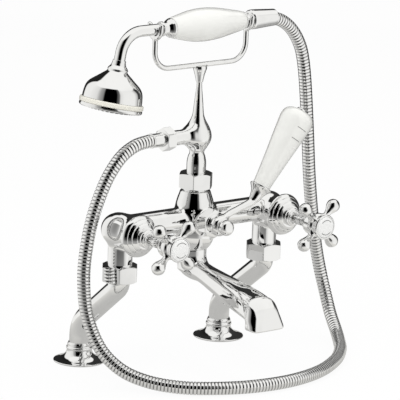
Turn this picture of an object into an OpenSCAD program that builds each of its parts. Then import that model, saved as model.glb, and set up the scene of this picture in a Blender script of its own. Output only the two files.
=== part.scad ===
// Deck-mounted bath shower mixer with cross handles, diverter lever, hood spout,
// riser, cradle, handset and ribbed hose.
// Millimetres, +Z up, origin on the deck midway between the two tap holes, front towards -Y.

/* [Mounting] */
// distance between the two tap-hole centres
hole_spacing = 180; // [172:1:188]
// rim diameter of each foot flange
flange_d = 52; // [46:1:58]
// outside diameter of the leg tubes
leg_d = 21; // [20:0.25:22]

/* [Body] */
// how far the bar stands in front of the tap holes
reach = 64; // [61:0.5:68]
// height of the bar axis above the deck
bar_height = 150; // [147:0.5:156]
// diameter of the bar
bar_d = 25; // [24.5:0.25:26]
// largest diameter of the centre barrel
barrel_d = 41; // [39:0.5:43]

/* [Valves] */
// rim diameter of the valve shrouds
shroud_d = 42; // [38:0.5:46]
// distance from the handle axis to the middle of each ball end
arm_reach = 25.8; // [24:0.2:28]
// diameter of the ball ends of the cross handles
arm_ball_d = 12.8; // [11:0.2:14]
// diameter of the ceramic index discs
index_d = 22; // [20:0.25:22.5]

/* [Diverter] */
// width across the flats of the diverter bonnet
bonnet_af = 25.5; // [24:0.5:28]
// largest diameter of the ceramic lever grip
lever_grip_d = 34; // [31:0.5:36]

/* [Spout] */
// width of the spout across its outlet
nose_w = 39; // [35:0.5:44]
// radius of the outlet bore
outlet_r = 8; // [6:0.25:8.5]

/* [Shower] */
// width across the flats of the column nut
column_af = 31; // [29:0.5:34]
// thickness of the cradle wire
wire_d = 5; // [4:0.1:5.5]
// diameter of the ring round the shower head
head_d = 63.2; // [60:0.4:66]
// largest diameter of the ceramic handset grip
handset_grip_d = 33; // [30:0.5:36]

/* [Hose] */
// outside diameter of the hose
hose_d = 13; // [12:0.25:13.5]
// number of ribs on the hose
hose_ribs = 170; // [60:10:180]

/* [Fits] */
// radial clearance of turning fits
run_fit = 0.08; // [0.04:0.01:0.1]
// radial clearance of parts that are screwed or pushed together
seat_fit = 0.1; // [0.05:0.01:0.15]

/* [Hidden] */
$fn = 72;
chrome = [0.8, 0.82, 0.84];
ceramic = [0.96, 0.96, 0.94];
ivory = [0.93, 0.9, 0.8];
brass = [0.75, 0.6, 0.3];
rubber = [0.15, 0.15, 0.15];

// feet, legs and unions
leg_r = leg_d / 2;
leg_wall = 2;
tail_r = leg_r - 1.2;
tail_depth = 14;
inlet_x = hole_spacing / 2 + 2;
valve_drop = 1.7;
leg_run = sqrt(reach * reach + 4);
leg_swing = atan(2 / reach);
leg_turn = 51.5;
lower_bend = 30;
upper_bend = 12;
bend_run = (lower_bend + upper_bend) * (1 - cos(leg_turn));
slant = (leg_run - bend_run) / sin(leg_turn);
leg_rise = (lower_bend + upper_bend) * sin(leg_turn) + slant * cos(leg_turn);
union_z = bar_height - 53;
union_h = 17;
union_af = 34;
lip_h = 3;
collar_h = 3;
washer_h = 2;
spigot_z = union_z + lip_h + collar_h + washer_h;
bar_r = bar_d / 2;
neck_r = bar_r - 0.2;

// valves, measured forward from the bar axis
boss_g = 25.5;
socket_r = 9.6;
disc_g = 4;
disc_h = 3;
cavity_r = 8.1;
spindle_r = 4;
barrel_g = 40;
gland_g = 48;
handle_g = 48.5;
cross_g = 83;
recess_g = 80;
hub_g = 91;

// diverter, measured forward from the bar axis
divert_g = 22;
divert_r = 10;
stem_r = 5;
lever_g = 40;
cap_g = 46;
grip_tilt = 34;
grip_l = 92.5;
grip_at = [48, 29];
lever_path = [[3, 6], [12, 11], [22, 14], [32, 17], [39, 19.4], [43.5, 23], [48, 29]];

// column, measured up from the bar axis
cone_h = 28.5;
column_h = 30.5;
column_top = 46.5;
column_r = 12.2;
riser_top = 137.5;
outlet_h = 84;
hose_nut_x = 33.5;
hose_nut_l = 11;
hose_spigot_r = 8.2;
ferrule_x = 52;
ferrule_r = 6.9;

// cradle and handset, heights measured up from the bar axis
rail_h = 155;
axis_h = 195;
saddle_x = 57.5;
cradle_bend = 18;
tube_r = 5.5;
wire_r = wire_d / 2;
fork_r = tube_r + wire_r + 0.3;
head_tilt = 11.4;
elbow_r = 24;
elbow_x = 75.7;
head_drop = 49.6;
tail_x = 79;
head_r = head_d / 2;

// spout sections: forward from the bar axis, top, bottom, half width over half nose width, squareness
spout_rows = [
    [-13, -41, -52, 0.25, 2],
    [-11.5, -39, -56, 0.45, 2],
    [-6, -37, -60, 0.62, 2],
    [2, -38, -62, 0.66, 2],
    [18, -43, -62.5, 0.61, 2.1],
    [41, -47, -68, 0.68, 2.3],
    [67, -51, -74, 0.8, 2.8],
    [92, -55, -78, 0.9, 3.4],
    [102.5, -57, -80, 0.92, 3.6],
    [104.5, -57.5, -88.5, 0.93, 3.8],
    [113, -59, -88.5, 0.93, 4],
    [120, -61, -88.5, 0.92, 4],
    [123, -63, -88, 0.88, 4],
    [124, -66.5, -86, 0.78, 4],
];
spout_sides = 28;
nose_g = 113.5;
spout_top = -30.5;

// hose route: from the ferrule down to the surface, across the front and up to the handset
hose_r = hose_d / 2;
hose_lie = 7.5;
hose_route = [
    [-52, 0, 234], [-57, 0, 234], [-62, 0, 234], [-77, 0, 231.6], [-92, 0, 224], [-104, 0, 212],
    [-115, 0, 195], [-126, 0, 169], [-133, 0, 141], [-137, -1, 110], [-136, -4, 78], [-132, -11, 53],
    [-126, -23, 33], [-116, -41, 18.5], [-102, -61, 11], [-85, -81, 8], [-63, -100, hose_lie],
    [-22, -119, hose_lie], [26, -124.5, hose_lie], [73, -114.5, hose_lie], [115, -91.5, hose_lie],
    [145, -65, hose_lie], [162, -44, 8.5], [174, -25, 14], [181, -7, 27], [184, 6, 46], [182, 13, 68],
    [175, 13, 93], [164, 9, 130], [152, 3, 176], [144, 0, 227], [138, 0, 276], [133, 0, 302],
    [127, 0, 317], [117, 0, 330.6], [105, 0, 339.6], [93, 0, 344], [86, 0, 345], [82.5, 0, 345],
    [79, 0, 345],
];
route_steps = 8;

// shared shapes

module turned(points) {
    rotate_extrude() polygon(points);
}

module ring(outer, inner, h) {
    difference() {
        cylinder(r = outer, h = h);
        translate([0, 0, -1]) cylinder(r = inner, h = h + 2);
    }
}

// hexagon with both rims turned down
module hexagon(af, h) {
    corner = af / 2 / cos(30);
    turn = corner - af / 2;
    intersection() {
        cylinder(r = corner, h = h, $fn = 6);
        turned([
            [0, 0], [af / 2 - 0.3, 0], [corner + 0.2, turn * 0.6 + 0.3],
            [corner + 0.2, h - turn * 0.6 - 0.3], [af / 2 - 0.3, h], [0, h],
        ]);
    }
}

// turns the local z axis forward, at the bar axis
module forward(x, g = 0) {
    translate([x, -reach - g, bar_height]) rotate([90, 0, 0]) children();
}

// turns the local z axis forward, at the axis of a valve
module valve(side, g = 0) {
    forward(side * inlet_x, g) translate([0, -valve_drop, 0]) children();
}

// puts children on the vertical axis of the column, h above the bar axis
module upward(h = 0) {
    translate([0, -reach, bar_height + h]) children();
}

// turns the local z axis to +X on the handset axis
module across(x = 0) {
    translate([x, -reach, bar_height + axis_h]) rotate([0, 90, 0]) children();
}

// local frame of the shower head: z up along its tilted axis, origin in the middle of the ring
module at_head() {
    start_x = -elbow_x - elbow_r * cos(head_tilt);
    start_h = axis_h - elbow_r * (1 - sin(head_tilt));
    upward(start_h) translate([start_x, 0, 0]) rotate([0, head_tilt, 0]) translate([0, 0, -head_drop])
        children();
}

// local frame of the lever grip: z along the grip, origin at the cup
module at_grip() {
    forward(0, lever_g) translate([grip_at.x, grip_at.y, 0]) rotate([-90, 0, 0]) rotate([0, grip_tilt, 0])
        children();
}

function unit(v) = v / norm(v);

// smooth curve through the given points
function spline_point(p0, p1, p2, p3, t) =
    0.5 * (2 * p1 + (p2 - p0) * t + (2 * p0 - 5 * p1 + 4 * p2 - p3) * t * t
        + (3 * p1 - p0 - 3 * p2 + p3) * t * t * t);

function spline(points, steps) = [
    for (i = [0 : len(points) - 2], k = [0 : steps - 1])
        let (before = points[max(i - 1, 0)], after = points[min(i + 2, len(points) - 1)])
        spline_point(before, points[i], points[i + 1], after, k / steps),
    points[len(points) - 1],
];

// distance along a list of points, at each point
function distances(points) = [
    for (i = 0, d = 0; i < len(points);
        d = d + (i + 1 < len(points) ? norm(points[i + 1] - points[i]) : 0), i = i + 1)
        d,
];

// points at even distances along a curve
function evenly(points, count) =
    let (d = distances(points), last = d[len(d) - 1])
    let (xs = [for (i = [0 : len(d) - 1]) [d[i], points[i].x]])
    let (ys = [for (i = [0 : len(d) - 1]) [d[i], points[i].y]])
    let (zs = [for (i = [0 : len(d) - 1]) [d[i], points[i].z]])
    [for (i = [0 : count]) let (s = last * i / count) [lookup(s, xs), lookup(s, ys), lookup(s, zs)]];

function direction(points, i) = unit(points[min(i + 1, len(points) - 1)] - points[max(i - 1, 0)]);

// side vectors that turn as little as possible along the curve
function sides_along(points, first) = [
    for (i = 0, s = first; i < len(points);
        i = i + 1, s = i < len(points)
            ? let (t = direction(points, i)) unit(s - (s * t) * t)
            : s)
        s,
];

function ring_points(centre, tangent, side, r, sides) =
    let (other = cross(tangent, side))
    [for (k = [0 : sides - 1]) centre + r * (cos(360 * k / sides) * side + sin(360 * k / sides) * other)];

// faces between rings of equal size that follow each other
function skin(rings, sides, start) = [
    for (i = [0 : rings - 2], k = [0 : sides - 1])
        let (a = start + i * sides + k, b = start + i * sides + (k + 1) % sides)
        each [[a, a + sides, b], [b, a + sides, b + sides]],
];

function flipped(faces) = [for (f = faces) [f[2], f[1], f[0]]];

function end_faces(rings, sides) = [
    [for (k = [0 : sides - 1]) k],
    [for (k = [0 : sides - 1]) rings * sides - 1 - k],
];

// solid rod of changing radius along a curve
module rod(points, radii, first, sides) {
    side = sides_along(points, first);
    n = len(points);
    verts = [
        for (i = [0 : n - 1])
            each ring_points(points[i], direction(points, i), side[i], radii[i], sides),
    ];
    polyhedron(verts, concat(skin(n, sides, 0), end_faces(n, sides)));
}

// tube of changing radius along a curve, its bore drawn at every few points
module tube(points, radii, bore, first, sides, bore_every = 1) {
    side = sides_along(points, first);
    n = len(points);
    bore_at = [for (i = [0 : bore_every : n - 1]) i];
    outer = [
        for (i = [0 : n - 1])
            each ring_points(points[i], direction(points, i), side[i], radii[i], sides),
    ];
    inner = [
        for (i = bore_at)
            each ring_points(points[i], direction(points, i), side[i], bore, sides),
    ];
    start = n * sides;
    last = start + (len(bore_at) - 1) * sides;
    caps = [
        for (k = [0 : sides - 1])
            let (m = (k + 1) % sides, a = (n - 1) * sides)
            each [
                [k, m, start + k], [m, start + m, start + k],
                [a + k, last + k, a + m], [a + m, last + k, last + m],
            ],
    ];
    polyhedron(
        concat(outer, inner),
        concat(skin(n, sides, 0), flipped(skin(len(bore_at), sides, start)), caps));
}

// points on an arc in the local xy plane
function arc(centre, radius, from, to, steps) = [
    for (i = [0 : steps])
        let (a = from + (to - from) * i / steps)
        [centre.x + radius * cos(a), centre.y + radius * sin(a), 0],
];

// feet, legs and unions

module foot_flange(side) {
    rim = flange_d / 2;
    color(chrome) translate([side * hole_spacing / 2, 0, 0]) difference() {
        turned([
            [0, 0], [rim, 0], [rim, 1.4], [rim - 1.4, 2.2], [rim - 5, 3.2], [rim - 8.5, 4.8],
            [rim - 11.2, 6.8], [leg_r + 2.4, 9], [leg_r + 1.8, 11], [leg_r + 1.8, 12.6], [leg_r + 2.5, 13.2],
            [leg_r + 2.5, 14.8], [leg_r + 1.8, 15.4], [leg_r + 1.6, 17], [leg_r + 0.6, 20], [0, 20],
        ]);
        translate([0, 0, -1]) cylinder(r = leg_r + seat_fit, h = 22);
    }
}

module leg(side) {
    foot = union_z - leg_rise;
    c = cos(leg_turn);
    s = sin(leg_turn);
    p2 = [lower_bend * (1 - c), foot + lower_bend * s, 0] + slant * [s, c, 0];
    path = concat(
        [[0, 0, 0]],
        arc([lower_bend, foot], lower_bend, 180, 180 - leg_turn, 6),
        arc(p2 + upper_bend * [-c, s, 0], upper_bend, -leg_turn, 0, 6),
        [[leg_run, union_z + lip_h + collar_h, 0]]);
    radii = [for (p = path) leg_r];
    color(chrome) translate([side * hole_spacing / 2, 0, 0])
        rotate([0, 0, side * leg_swing]) rotate([90, 0, -90]) difference() {
            union() {
                tube(path, radii, leg_r - leg_wall, [0, 0, 1], 24);
                translate([leg_run, union_z + lip_h, 0]) rotate([-90, 0, 0])
                    ring(neck_r - 0.3, leg_r - leg_wall + 0.4, collar_h);
            }
            translate([0, -1, 0]) rotate([-90, 0, 0]) cylinder(r = tail_r, h = tail_depth + 1);
        }
}

module at_inlet(side, z) {
    translate([side * inlet_x, -reach, z]) children();
}

module leg_washer(side) {
    color(rubber) at_inlet(side, spigot_z - washer_h) ring(neck_r - 0.3, leg_r - leg_wall, washer_h);
}

module union_nut(side) {
    color(chrome) at_inlet(side, union_z) difference() {
        rotate([0, 0, 52]) hexagon(union_af, union_h);
        translate([0, 0, -1]) cylinder(r = leg_r + 0.3, h = union_h);
        translate([0, 0, lip_h]) cylinder(r = neck_r + seat_fit, h = union_h);
    }
}

// body and spout

module body_outside() {
    translate([-inlet_x, -reach, bar_height]) rotate([0, 90, 0]) cylinder(r = bar_r, h = 2 * inlet_x);
    for (side = [-1, 1]) {
        at_inlet(side, bar_height) translate([side * 4.5, 0, 0]) sphere(r = bar_r + 3.7);
        at_inlet(side, spigot_z) cylinder(r = neck_r, h = bar_height - spigot_z);
        valve(side) cylinder(r = bar_r + 1.9, h = boss_g);
    }
    barrel = barrel_d / 2;
    upward() turned([
        [0, spout_top], [14, spout_top], [barrel - 4.7, spout_top + 2], [barrel - 1.7, spout_top + 7],
        [barrel - 0.3, spout_top + 13], [barrel, spout_top + 18], [barrel, 3], [barrel - 0.3, 8],
        [barrel - 1.2, 14], [barrel - 2.7, 20], [barrel - 4.4, 25], [15, cone_h], [column_r, cone_h],
        [column_r, column_top - 7], [0, column_top - 7],
    ]);
    forward(0) cylinder(r = 12, h = divert_g);
}

module body() {
    color(chrome) difference() {
        body_outside();
        translate([-inlet_x, -reach, bar_height]) rotate([0, 90, 0]) cylinder(r = 7, h = 2 * inlet_x);
        for (side = [-1, 1]) {
            at_inlet(side, spigot_z - 1) cylinder(r = 8.5, h = bar_height - spigot_z + 1);
            valve(side) cylinder(r = socket_r, h = boss_g + 1);
        }
        upward(spout_top - 1) cylinder(r = 9, h = column_top - spout_top);
        forward(0) cylinder(r = divert_r, h = divert_g + 1);
    }
}

function spout_point(row, a) =
    let (c = cos(a), s = sin(a), e = 2 / row[4])
    let (v = sign(s) * pow(abs(s), e))
    let (narrow = row[4] > 2 ? 0.08 * (row[4] - 2) : 0)
    [
        sign(c) * pow(abs(c), e) * row[3] * nose_w / 2 * (1 - narrow * v),
        (row[1] + row[2]) / 2 + v * (row[1] - row[2]) / 2,
        row[0],
    ];

module spout() {
    n = len(spout_rows);
    verts = [
        for (row = spout_rows, k = [0 : spout_sides - 1])
            spout_point(row, 360 * (k + 0.5) / spout_sides),
    ];
    color(chrome) difference() {
        union() {
            forward(0) polyhedron(verts, concat(skin(n, spout_sides, 0), end_faces(n, spout_sides)));
            upward(-52) cylinder(r = 13.4, h = spout_top + 52);
            upward(-50) cylinder(r = 9 - seat_fit, h = spout_top + 58);
        }
        upward(-54) cylinder(r = 6.5, h = spout_top + 64);
        forward(0) translate([0, -49, 0]) rotate([10.6, 0, 0]) cylinder(r = 5, h = nose_g + 1);
        upward(-92) translate([0, -nose_g, 0]) cylinder(r = outlet_r, h = 24);
    }
}

// valves

module cartridge(side) {
    color(brass) valve(side) difference() {
        turned([
            [0, disc_g], [socket_r - seat_fit, disc_g], [socket_r - seat_fit, boss_g], [12, boss_g],
            [12, boss_g + 2.5], [8.6, boss_g + 2.5], [8.6, barrel_g], [0, barrel_g],
        ]);
        translate([0, 0, disc_g - 1]) cylinder(r = cavity_r, h = 2 * disc_h + 3.1);
        cylinder(r = spindle_r + run_fit, h = barrel_g + 1);
    }
}

module ceramic_disc(r) {
    difference() {
        cylinder(r = r, h = disc_h);
        for (side = [-1, 1])
            translate([side * 4, 0, -1]) cylinder(r = 2, h = disc_h + 2);
    }
}

module fixed_disc(side) {
    color(ceramic) valve(side, disc_g) ceramic_disc(cavity_r - 0.05);
}

module turning_disc(side) {
    color(ceramic) valve(side, disc_g + disc_h + 0.05) ceramic_disc(cavity_r - run_fit);
}

module spindle(side) {
    plate = disc_g + 2 * disc_h + 0.05;
    color(brass) valve(side) difference() {
        union() {
            translate([0, 0, plate]) cylinder(r = cavity_r - run_fit, h = 1.9);
            translate([0, 0, plate]) cylinder(r = spindle_r, h = recess_g - 2 - plate);
        }
        translate([0, 0, recess_g - 16]) cylinder(r = 2.5, h = 20);
    }
}

module shroud(side) {
    rim = shroud_d / 2;
    color(chrome) valve(side) difference() {
        turned([
            [0, boss_g + 0.7], [rim - 2, boss_g + 0.7], [rim - 0.4, 27.6], [rim, 29.4], [rim - 0.6, 30.8],
            [rim - 2.4, 32.2], [rim - 4.2, 33], [rim - 4.6, 34.2], [rim - 7.4, 36], [rim - 9.6, 37],
            [11, 37.6], [10.6, 39], [9.6, barrel_g], [0, barrel_g],
        ]);
        cylinder(r = 8.6 + seat_fit, h = barrel_g + 1);
        translate([0, 0, boss_g - 1]) cylinder(r1 = rim - 3, r2 = 12.2, h = 7.5);
    }
}

module gland(side) {
    color(chrome) valve(side) difference() {
        turned([
            [0, barrel_g], [9.2, barrel_g], [9.2, 43.6], [8.6, 44.4], [7.4, 44.8], [7.2, 45.8],
            [6.2, 46.2], [6.2, gland_g], [0, gland_g],
        ]);
        translate([0, 0, barrel_g - 1]) cylinder(r = spindle_r + 0.3, h = gland_g - barrel_g + 2);
    }
}

module handle_arm() {
    k = arm_ball_d / 2;
    c = arm_reach;
    turned([
        [0, 8], [3.6, 8], [3.1, 11.5], [3.3, c - 11], [0.52 * k + 0.9, c - 7.6], [0.88 * k, c - 3.6],
        [0.985 * k, c - 1.2], [k, c + 0.6], [0.93 * k, c + 0.45 * k], [0.74 * k, c + 0.74 * k],
        [0.42 * k, c + 0.95 * k], [0, c + 1.02 * k],
    ]);
}

module handle(side) {
    color(chrome) valve(side) difference() {
        union() {
            turned([
                [0, handle_g], [5, handle_g], [5, 62], [5.8, 64.5], [8, 67.5], [10.4, 71], [11.5, 76],
                [11.7, cross_g], [11.5, 88], [11.8, hub_g], [0, hub_g],
            ]);
            for (a = [45 : 90 : 315])
                translate([0, 0, cross_g]) rotate([0, 0, a]) rotate([0, 90, 0]) handle_arm();
        }
        translate([0, 0, handle_g - 1]) cylinder(r = spindle_r + 0.05, h = recess_g - 2 - handle_g + 1);
        cylinder(r = 2.5, h = hub_g);
        translate([0, 0, recess_g]) cylinder(r = 8.5, h = hub_g);
    }
}

module handle_screw(side) {
    color(brass) valve(side) difference() {
        union() {
            translate([0, 0, recess_g - 14]) cylinder(r = 2.4, h = 15);
            translate([0, 0, recess_g]) cylinder(r = 4.3, h = 4);
        }
        translate([0, 0, recess_g + 1.6]) cylinder(r = 2.3, h = 4, $fn = 6);
    }
}

module index(side) {
    r = index_d / 2;
    color(ceramic) valve(side) turned([
        [0, hub_g - 5], [8.4, hub_g - 5], [8.4, hub_g], [r, hub_g], [r, hub_g + 2.4],
        [r - 0.8, hub_g + 3.3], [r * 0.7, hub_g + 4], [0, hub_g + 4.4],
    ]);
}

module bezel(side) {
    r = index_d / 2;
    color(chrome) valve(side) difference() {
        turned([
            [0, hub_g], [11.8, hub_g], [r + 1.4, hub_g + 0.8], [r + 1.4, hub_g + 1.8],
            [r + 0.5, hub_g + 2.4], [0, hub_g + 2.4],
        ]);
        translate([0, 0, hub_g - 1]) cylinder(r = r + 0.05, h = 6);
    }
}

// diverter

module diverter_bonnet() {
    color(chrome) forward(0) difference() {
        union() {
            translate([0, 0, divert_g]) rotate([0, 0, 30]) hexagon(bonnet_af, 11);
            translate([0, 0, divert_g - 6]) cylinder(r = divert_r - seat_fit, h = 7);
            translate([0, 0, divert_g + 10]) cylinder(r1 = 10.4, r2 = 8.4, h = 2.2);
        }
        cylinder(r = stem_r + run_fit, h = 60);
    }
}

module diverter_stem() {
    color(brass) forward(0) difference() {
        union() {
            translate([0, 0, 2]) cylinder(r = divert_r - run_fit, h = 12);
            translate([0, 0, 2]) cylinder(r = stem_r, h = cap_g - 2);
        }
        translate([0, 0, 8]) rotate([0, 90, 0]) translate([0, 0, -20]) cylinder(r = 3.5, h = 40);
        translate([0, 0, cap_g - 9]) cylinder(r = 2.5, h = 20);
    }
}

module diverter_lever() {
    path = spline([for (p = lever_path) [p.x, p.y, lever_g]], 4);
    n = len(path);
    radii = [for (i = [0 : n - 1]) 3.1 + 2.2 * pow(i / (n - 1), 2)];
    color(chrome) {
        forward(0) difference() {
            union() {
                turned([
                    [0, 34.4], [8.2, 34.4], [9, 35.4], [9, 44.6], [8.4, cap_g - 0.4], [0, cap_g - 0.4],
                ]);
                rod(path, radii, [0, 0, 1], 16);
            }
            cylinder(r = stem_r + 0.05, h = 60);
        }
        at_grip() difference() {
            turned([
                [0, -9], [4.4, -9], [5.3, -7], [6, -4.5], [6.9, -2], [8, 0.2], [9.4, 2.4], [10.8, 4.2],
                [11.4, 5.3], [11.1, 6.2], [10.2, 6.2], [9.4, 4], [0, 4],
            ]);
            translate([0, 0, -1]) cylinder(r = 2.5, h = 9);
        }
    }
}

module lever_cap() {
    color(chrome) forward(0, cap_g) {
        turned([
            [0, -8], [2.4, -8], [2.4, 0], [6.2, 0], [7.4, 1.2], [7.8, 3], [7.5, 5], [6.4, 7.2], [4.6, 9],
            [2.4, 10], [0, 10.3],
        ]);
    }
}

module lever_grip() {
    k = lever_grip_d / 2;
    color(ceramic) at_grip() difference() {
        turned([
            [0, 4], [9, 4], [9.2, 9], [0.3 * k + 5.5, 24], [0.62 * k + 2, 41], [0.86 * k, 58],
            [0.955 * k, 72], [k, 80], [0.985 * k, 84], [0.93 * k, 87.2], [0.82 * k, 89.6], [0.66 * k, 91.3],
            [0.48 * k, 92.2], [5.4, grip_l], [0, grip_l],
        ]);
        cylinder(r = 2.5, h = grip_l + 2);
    }
}

module lever_end_screw() {
    color(chrome) at_grip() {
        translate([0, 0, 2]) cylinder(r = 2.4, h = grip_l - 1);
        translate([0, 0, grip_l]) turned([[0, 0], [5, 0], [5, 1], [4.1, 2.2], [2.2, 2.9], [0, 3.1]]);
    }
}

// column and cradle

module column_nut() {
    color(chrome) upward(column_h) difference() {
        rotate([0, 0, 44]) hexagon(column_af, column_top - column_h);
        translate([0, 0, -1]) cylinder(r = column_r + seat_fit, h = column_top - column_h - 1.3);
        cylinder(r = 9.9, h = 40);
    }
}

module riser_washer() {
    color(rubber) upward(column_top - 7) ring(column_r - 0.2, 6, 2);
}

module riser() {
    collar = column_top - 5;
    color(chrome) difference() {
        union() {
            upward() turned([
                [0, collar], [column_r - 0.2, collar], [column_r - 0.2, collar + 2.6], [9.7, collar + 2.6],
                [9.7, 47], [9.5, 58.5], [8.3, 64], [7.2, 66.6], [7.5, 68.5], [9.8, 72], [12.3, 76.5],
                [13.8, 80], [14.1, 83], [13.8, 86], [12.5, 90.5], [10.3, 95], [7.6, 99.5], [5.6, 104],
                [4.6, 116], [2.5, 135], [2.6, riser_top], [1.6, riser_top], [1.6, riser_top + 9],
                [0, riser_top + 9],
            ]);
            upward(outlet_h) rotate([0, -90, 0]) turned([
                [0, 0], [11, 0], [10.2, 12], [8.4, 15.5], [7.5, 19], [7.5, hose_nut_x],
                [hose_spigot_r, hose_nut_x], [hose_spigot_r, hose_nut_x + 6], [0, hose_nut_x + 6],
            ]);
        }
        upward(collar - 1) cylinder(r = 5.5, h = outlet_h - collar + 6);
        upward(outlet_h) rotate([0, -90, 0]) cylinder(r = 5, h = hose_nut_x + 8);
    }
}

module saddle(side) {
    upward(axis_h) translate([side * saddle_x, 0, 0]) {
        rotate([0, 90, 0]) rotate([0, 0, -90]) rotate_extrude(angle = 180)
            translate([fork_r, 0]) circle(r = wire_r);
        for (y = [-fork_r, fork_r])
            translate([0, y, 0]) {
                cylinder(r = wire_r, h = 3.5);
                translate([0, 0, 3.5]) sphere(r = wire_r);
            }
    }
}

module cradle() {
    flat = saddle_x - cradle_bend;
    upright = axis_h - fork_r - rail_h - cradle_bend;
    color(chrome) {
        upward(rail_h) translate([-flat, 0, 0]) rotate([0, 90, 0]) cylinder(r = wire_r, h = 2 * flat);
        for (side = [-1, 1]) {
            upward(rail_h + cradle_bend) translate([side * flat, 0, 0]) rotate([90, 0, 0])
                rotate([0, 0, side > 0 ? -90 : 180]) rotate_extrude(angle = 90) translate([cradle_bend, 0])
                circle(r = wire_r);
            upward(rail_h + cradle_bend) translate([side * saddle_x, 0, 0])
                cylinder(r = wire_r, h = upright);
            saddle(side);
        }
        difference() {
            upward() turned([
                [0, riser_top], [3.6, riser_top], [3.9, riser_top + 3], [4.8, riser_top + 7],
                [6, riser_top + 11], [7.1, rail_h - 2.6], [6.6, rail_h - 1.2], [0, rail_h - 1.2],
            ]);
            upward(riser_top - 1) cylinder(r = 1.7, h = 11);
        }
    }
}

// hose and its fittings

module hose_at(x) {
    upward(outlet_h) translate([-x, 0, 0]) rotate([0, -90, 0]) children();
}

module hose_nut() {
    color(chrome) hose_at(hose_nut_x) difference() {
        hexagon(21, hose_nut_l);
        translate([0, 0, -1]) cylinder(r = hose_spigot_r + seat_fit, h = hose_nut_l - 0.6);
        cylinder(r = 6, h = 20);
    }
}

module hose_washer() {
    color(rubber) hose_at(hose_nut_x + 6) ring(hose_spigot_r - 0.2, 4, 1.4);
}

module hose_ferrule() {
    color(chrome) hose_at(0) difference() {
        turned([
            [0, hose_nut_x + 7.4], [hose_spigot_r - 0.2, hose_nut_x + 7.4],
            [hose_spigot_r - 0.2, hose_nut_x + 9.2], [5.8, hose_nut_x + 9.2],
            [5.8, hose_nut_x + hose_nut_l + 0.2], [ferrule_r, hose_nut_x + hose_nut_l + 0.2],
            [ferrule_r, ferrule_x], [0, ferrule_x],
        ]);
        cylinder(r = 4, h = 80);
    }
}

// the upper part of the route follows the height of the bar, the lower part stays on the surface
function hose_point(p) = [p.x, p.y - reach, p.z + (bar_height - 150) * min(1, (p.z - hose_lie) / 60)];

module hose() {
    route = evenly(spline([for (p = hose_route) hose_point(p)], route_steps), 2 * hose_ribs);
    radii = [for (i = [0 : 2 * hose_ribs]) i % 2 == 0 ? hose_r - 0.7 : hose_r];
    color(chrome) tube(route, radii, hose_r - 2.2, [0, 1, 0], 8, 4);
}

// handset

module handset_head() {
    r = head_r - 2.1;
    color(chrome) at_head() difference() {
        turned([
            [0, 2.6], [r, 2.6], [r - 0.2, 6], [r - 0.6, 9.5], [r - 1.5, 13.5], [r - 2.9, 17.2],
            [r - 4.9, 20.6], [r - 8.1, 23], [r - 11.7, 24.8], [r - 14.9, 26.8], [r - 17.5, 29],
            [10.4, 31], [9.8, 32], [10.2, 33.4], [9.2, 35], [7.4, 37], [6.5, 40], [6.4, 42.4], [0, 42.4],
        ]);
        translate([0, 0, 35]) cylinder(r = tube_r + seat_fit, h = 20);
        translate([0, 0, 14]) cylinder(r = 4, h = 40);
        translate([0, 0, 1]) cylinder(r = head_r - 7.4, h = 10.6);
        translate([0, 0, 11.5]) cylinder(r1 = head_r - 10, r2 = 6, h = 12);
    }
}

module handset_ring() {
    color(ivory) at_head() difference() {
        turned([
            [0, -2.2], [head_r - 0.6, -2.2], [head_r, -1.4], [head_r, 1.6], [head_r - 0.8, 2.5], [0, 2.6],
        ]);
        translate([0, 0, -5]) cylinder(r = head_r - 7.4, h = 20);
    }
}

module handset_rim() {
    color(chrome) at_head() difference() {
        union() {
            turned([
                [0, -6.4], [head_r - 2.4, -6.4], [head_r - 0.8, -5.6], [head_r - 0.4, -4.2],
                [head_r - 0.8, -2.2], [0, -2.2],
            ]);
            translate([0, 0, -3]) cylinder(r = head_r - 7.5, h = 12);
        }
        translate([0, 0, -4.4]) cylinder(r = head_r - 9.6, h = 20);
        translate([0, 0, -8]) cylinder(r = head_r - 5, h = 3.6);
    }
}

module handset_rose() {
    r = head_r - 5.1;
    color(chrome) at_head() turned([
        [0, -4.5], [r, -4.5], [r, -6.2], [r * 0.8, -7.2], [r * 0.45, -8], [0, -8.3],
    ]);
}

module handset_neck() {
    start = [-elbow_x - elbow_r * cos(head_tilt), axis_h - elbow_r * (1 - sin(head_tilt)), 0];
    path = concat(
        [start - (head_drop - 36) * [sin(head_tilt), cos(head_tilt), 0]],
        arc([-elbow_x, axis_h - elbow_r], elbow_r, 180 - head_tilt, 90, 9),
        [[74, axis_h, 0]]);
    radii = [for (p = path) tube_r];
    color(chrome) upward() rotate([90, 0, 0]) tube(path, radii, tube_r - 2, [0, 0, 1], 24);
}

module handset_front_ferrule() {
    color(chrome) across() difference() {
        turned([
            [0, -52], [6.6, -52], [7.2, -51], [7.2, -49.6], [6.4, -48.4], [6.3, -44.6], [7.4, -43.4],
            [8.4, -42], [9.4, -39], [10.4, -35.6], [10.9, -33.4], [10.9, -32], [0, -32],
        ]);
        translate([0, 0, -60]) cylinder(r = tube_r + seat_fit, h = 60);
    }
}

module handset_grip() {
    k = handset_grip_d / 2;
    color(ceramic) across() difference() {
        turned([
            [0, -32], [11.2, -32], [12, -31], [0.36 * k + 6.9, -25], [0.72 * k + 2.8, -18], [0.96 * k, -10],
            [0.995 * k, -3], [k, 3], [0.985 * k, 10], [0.93 * k, 19], [0.58 * k + 4.3, 28],
            [0.34 * k + 6.3, 38], [10.4, 46], [9.2, 51], [8.6, 52], [0, 52],
        ]);
        translate([0, 0, -40]) cylinder(r = tube_r + seat_fit, h = 120);
    }
}

module handset_rear_ferrule() {
    color(chrome) across() difference() {
        turned([[0, 52], [8.6, 52], [8.6, 52.8], [7.6, 53.8], [6.6, 54], [0, 54]]);
        translate([0, 0, 40]) cylinder(r = tube_r + seat_fit, h = 40);
    }
}

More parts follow.
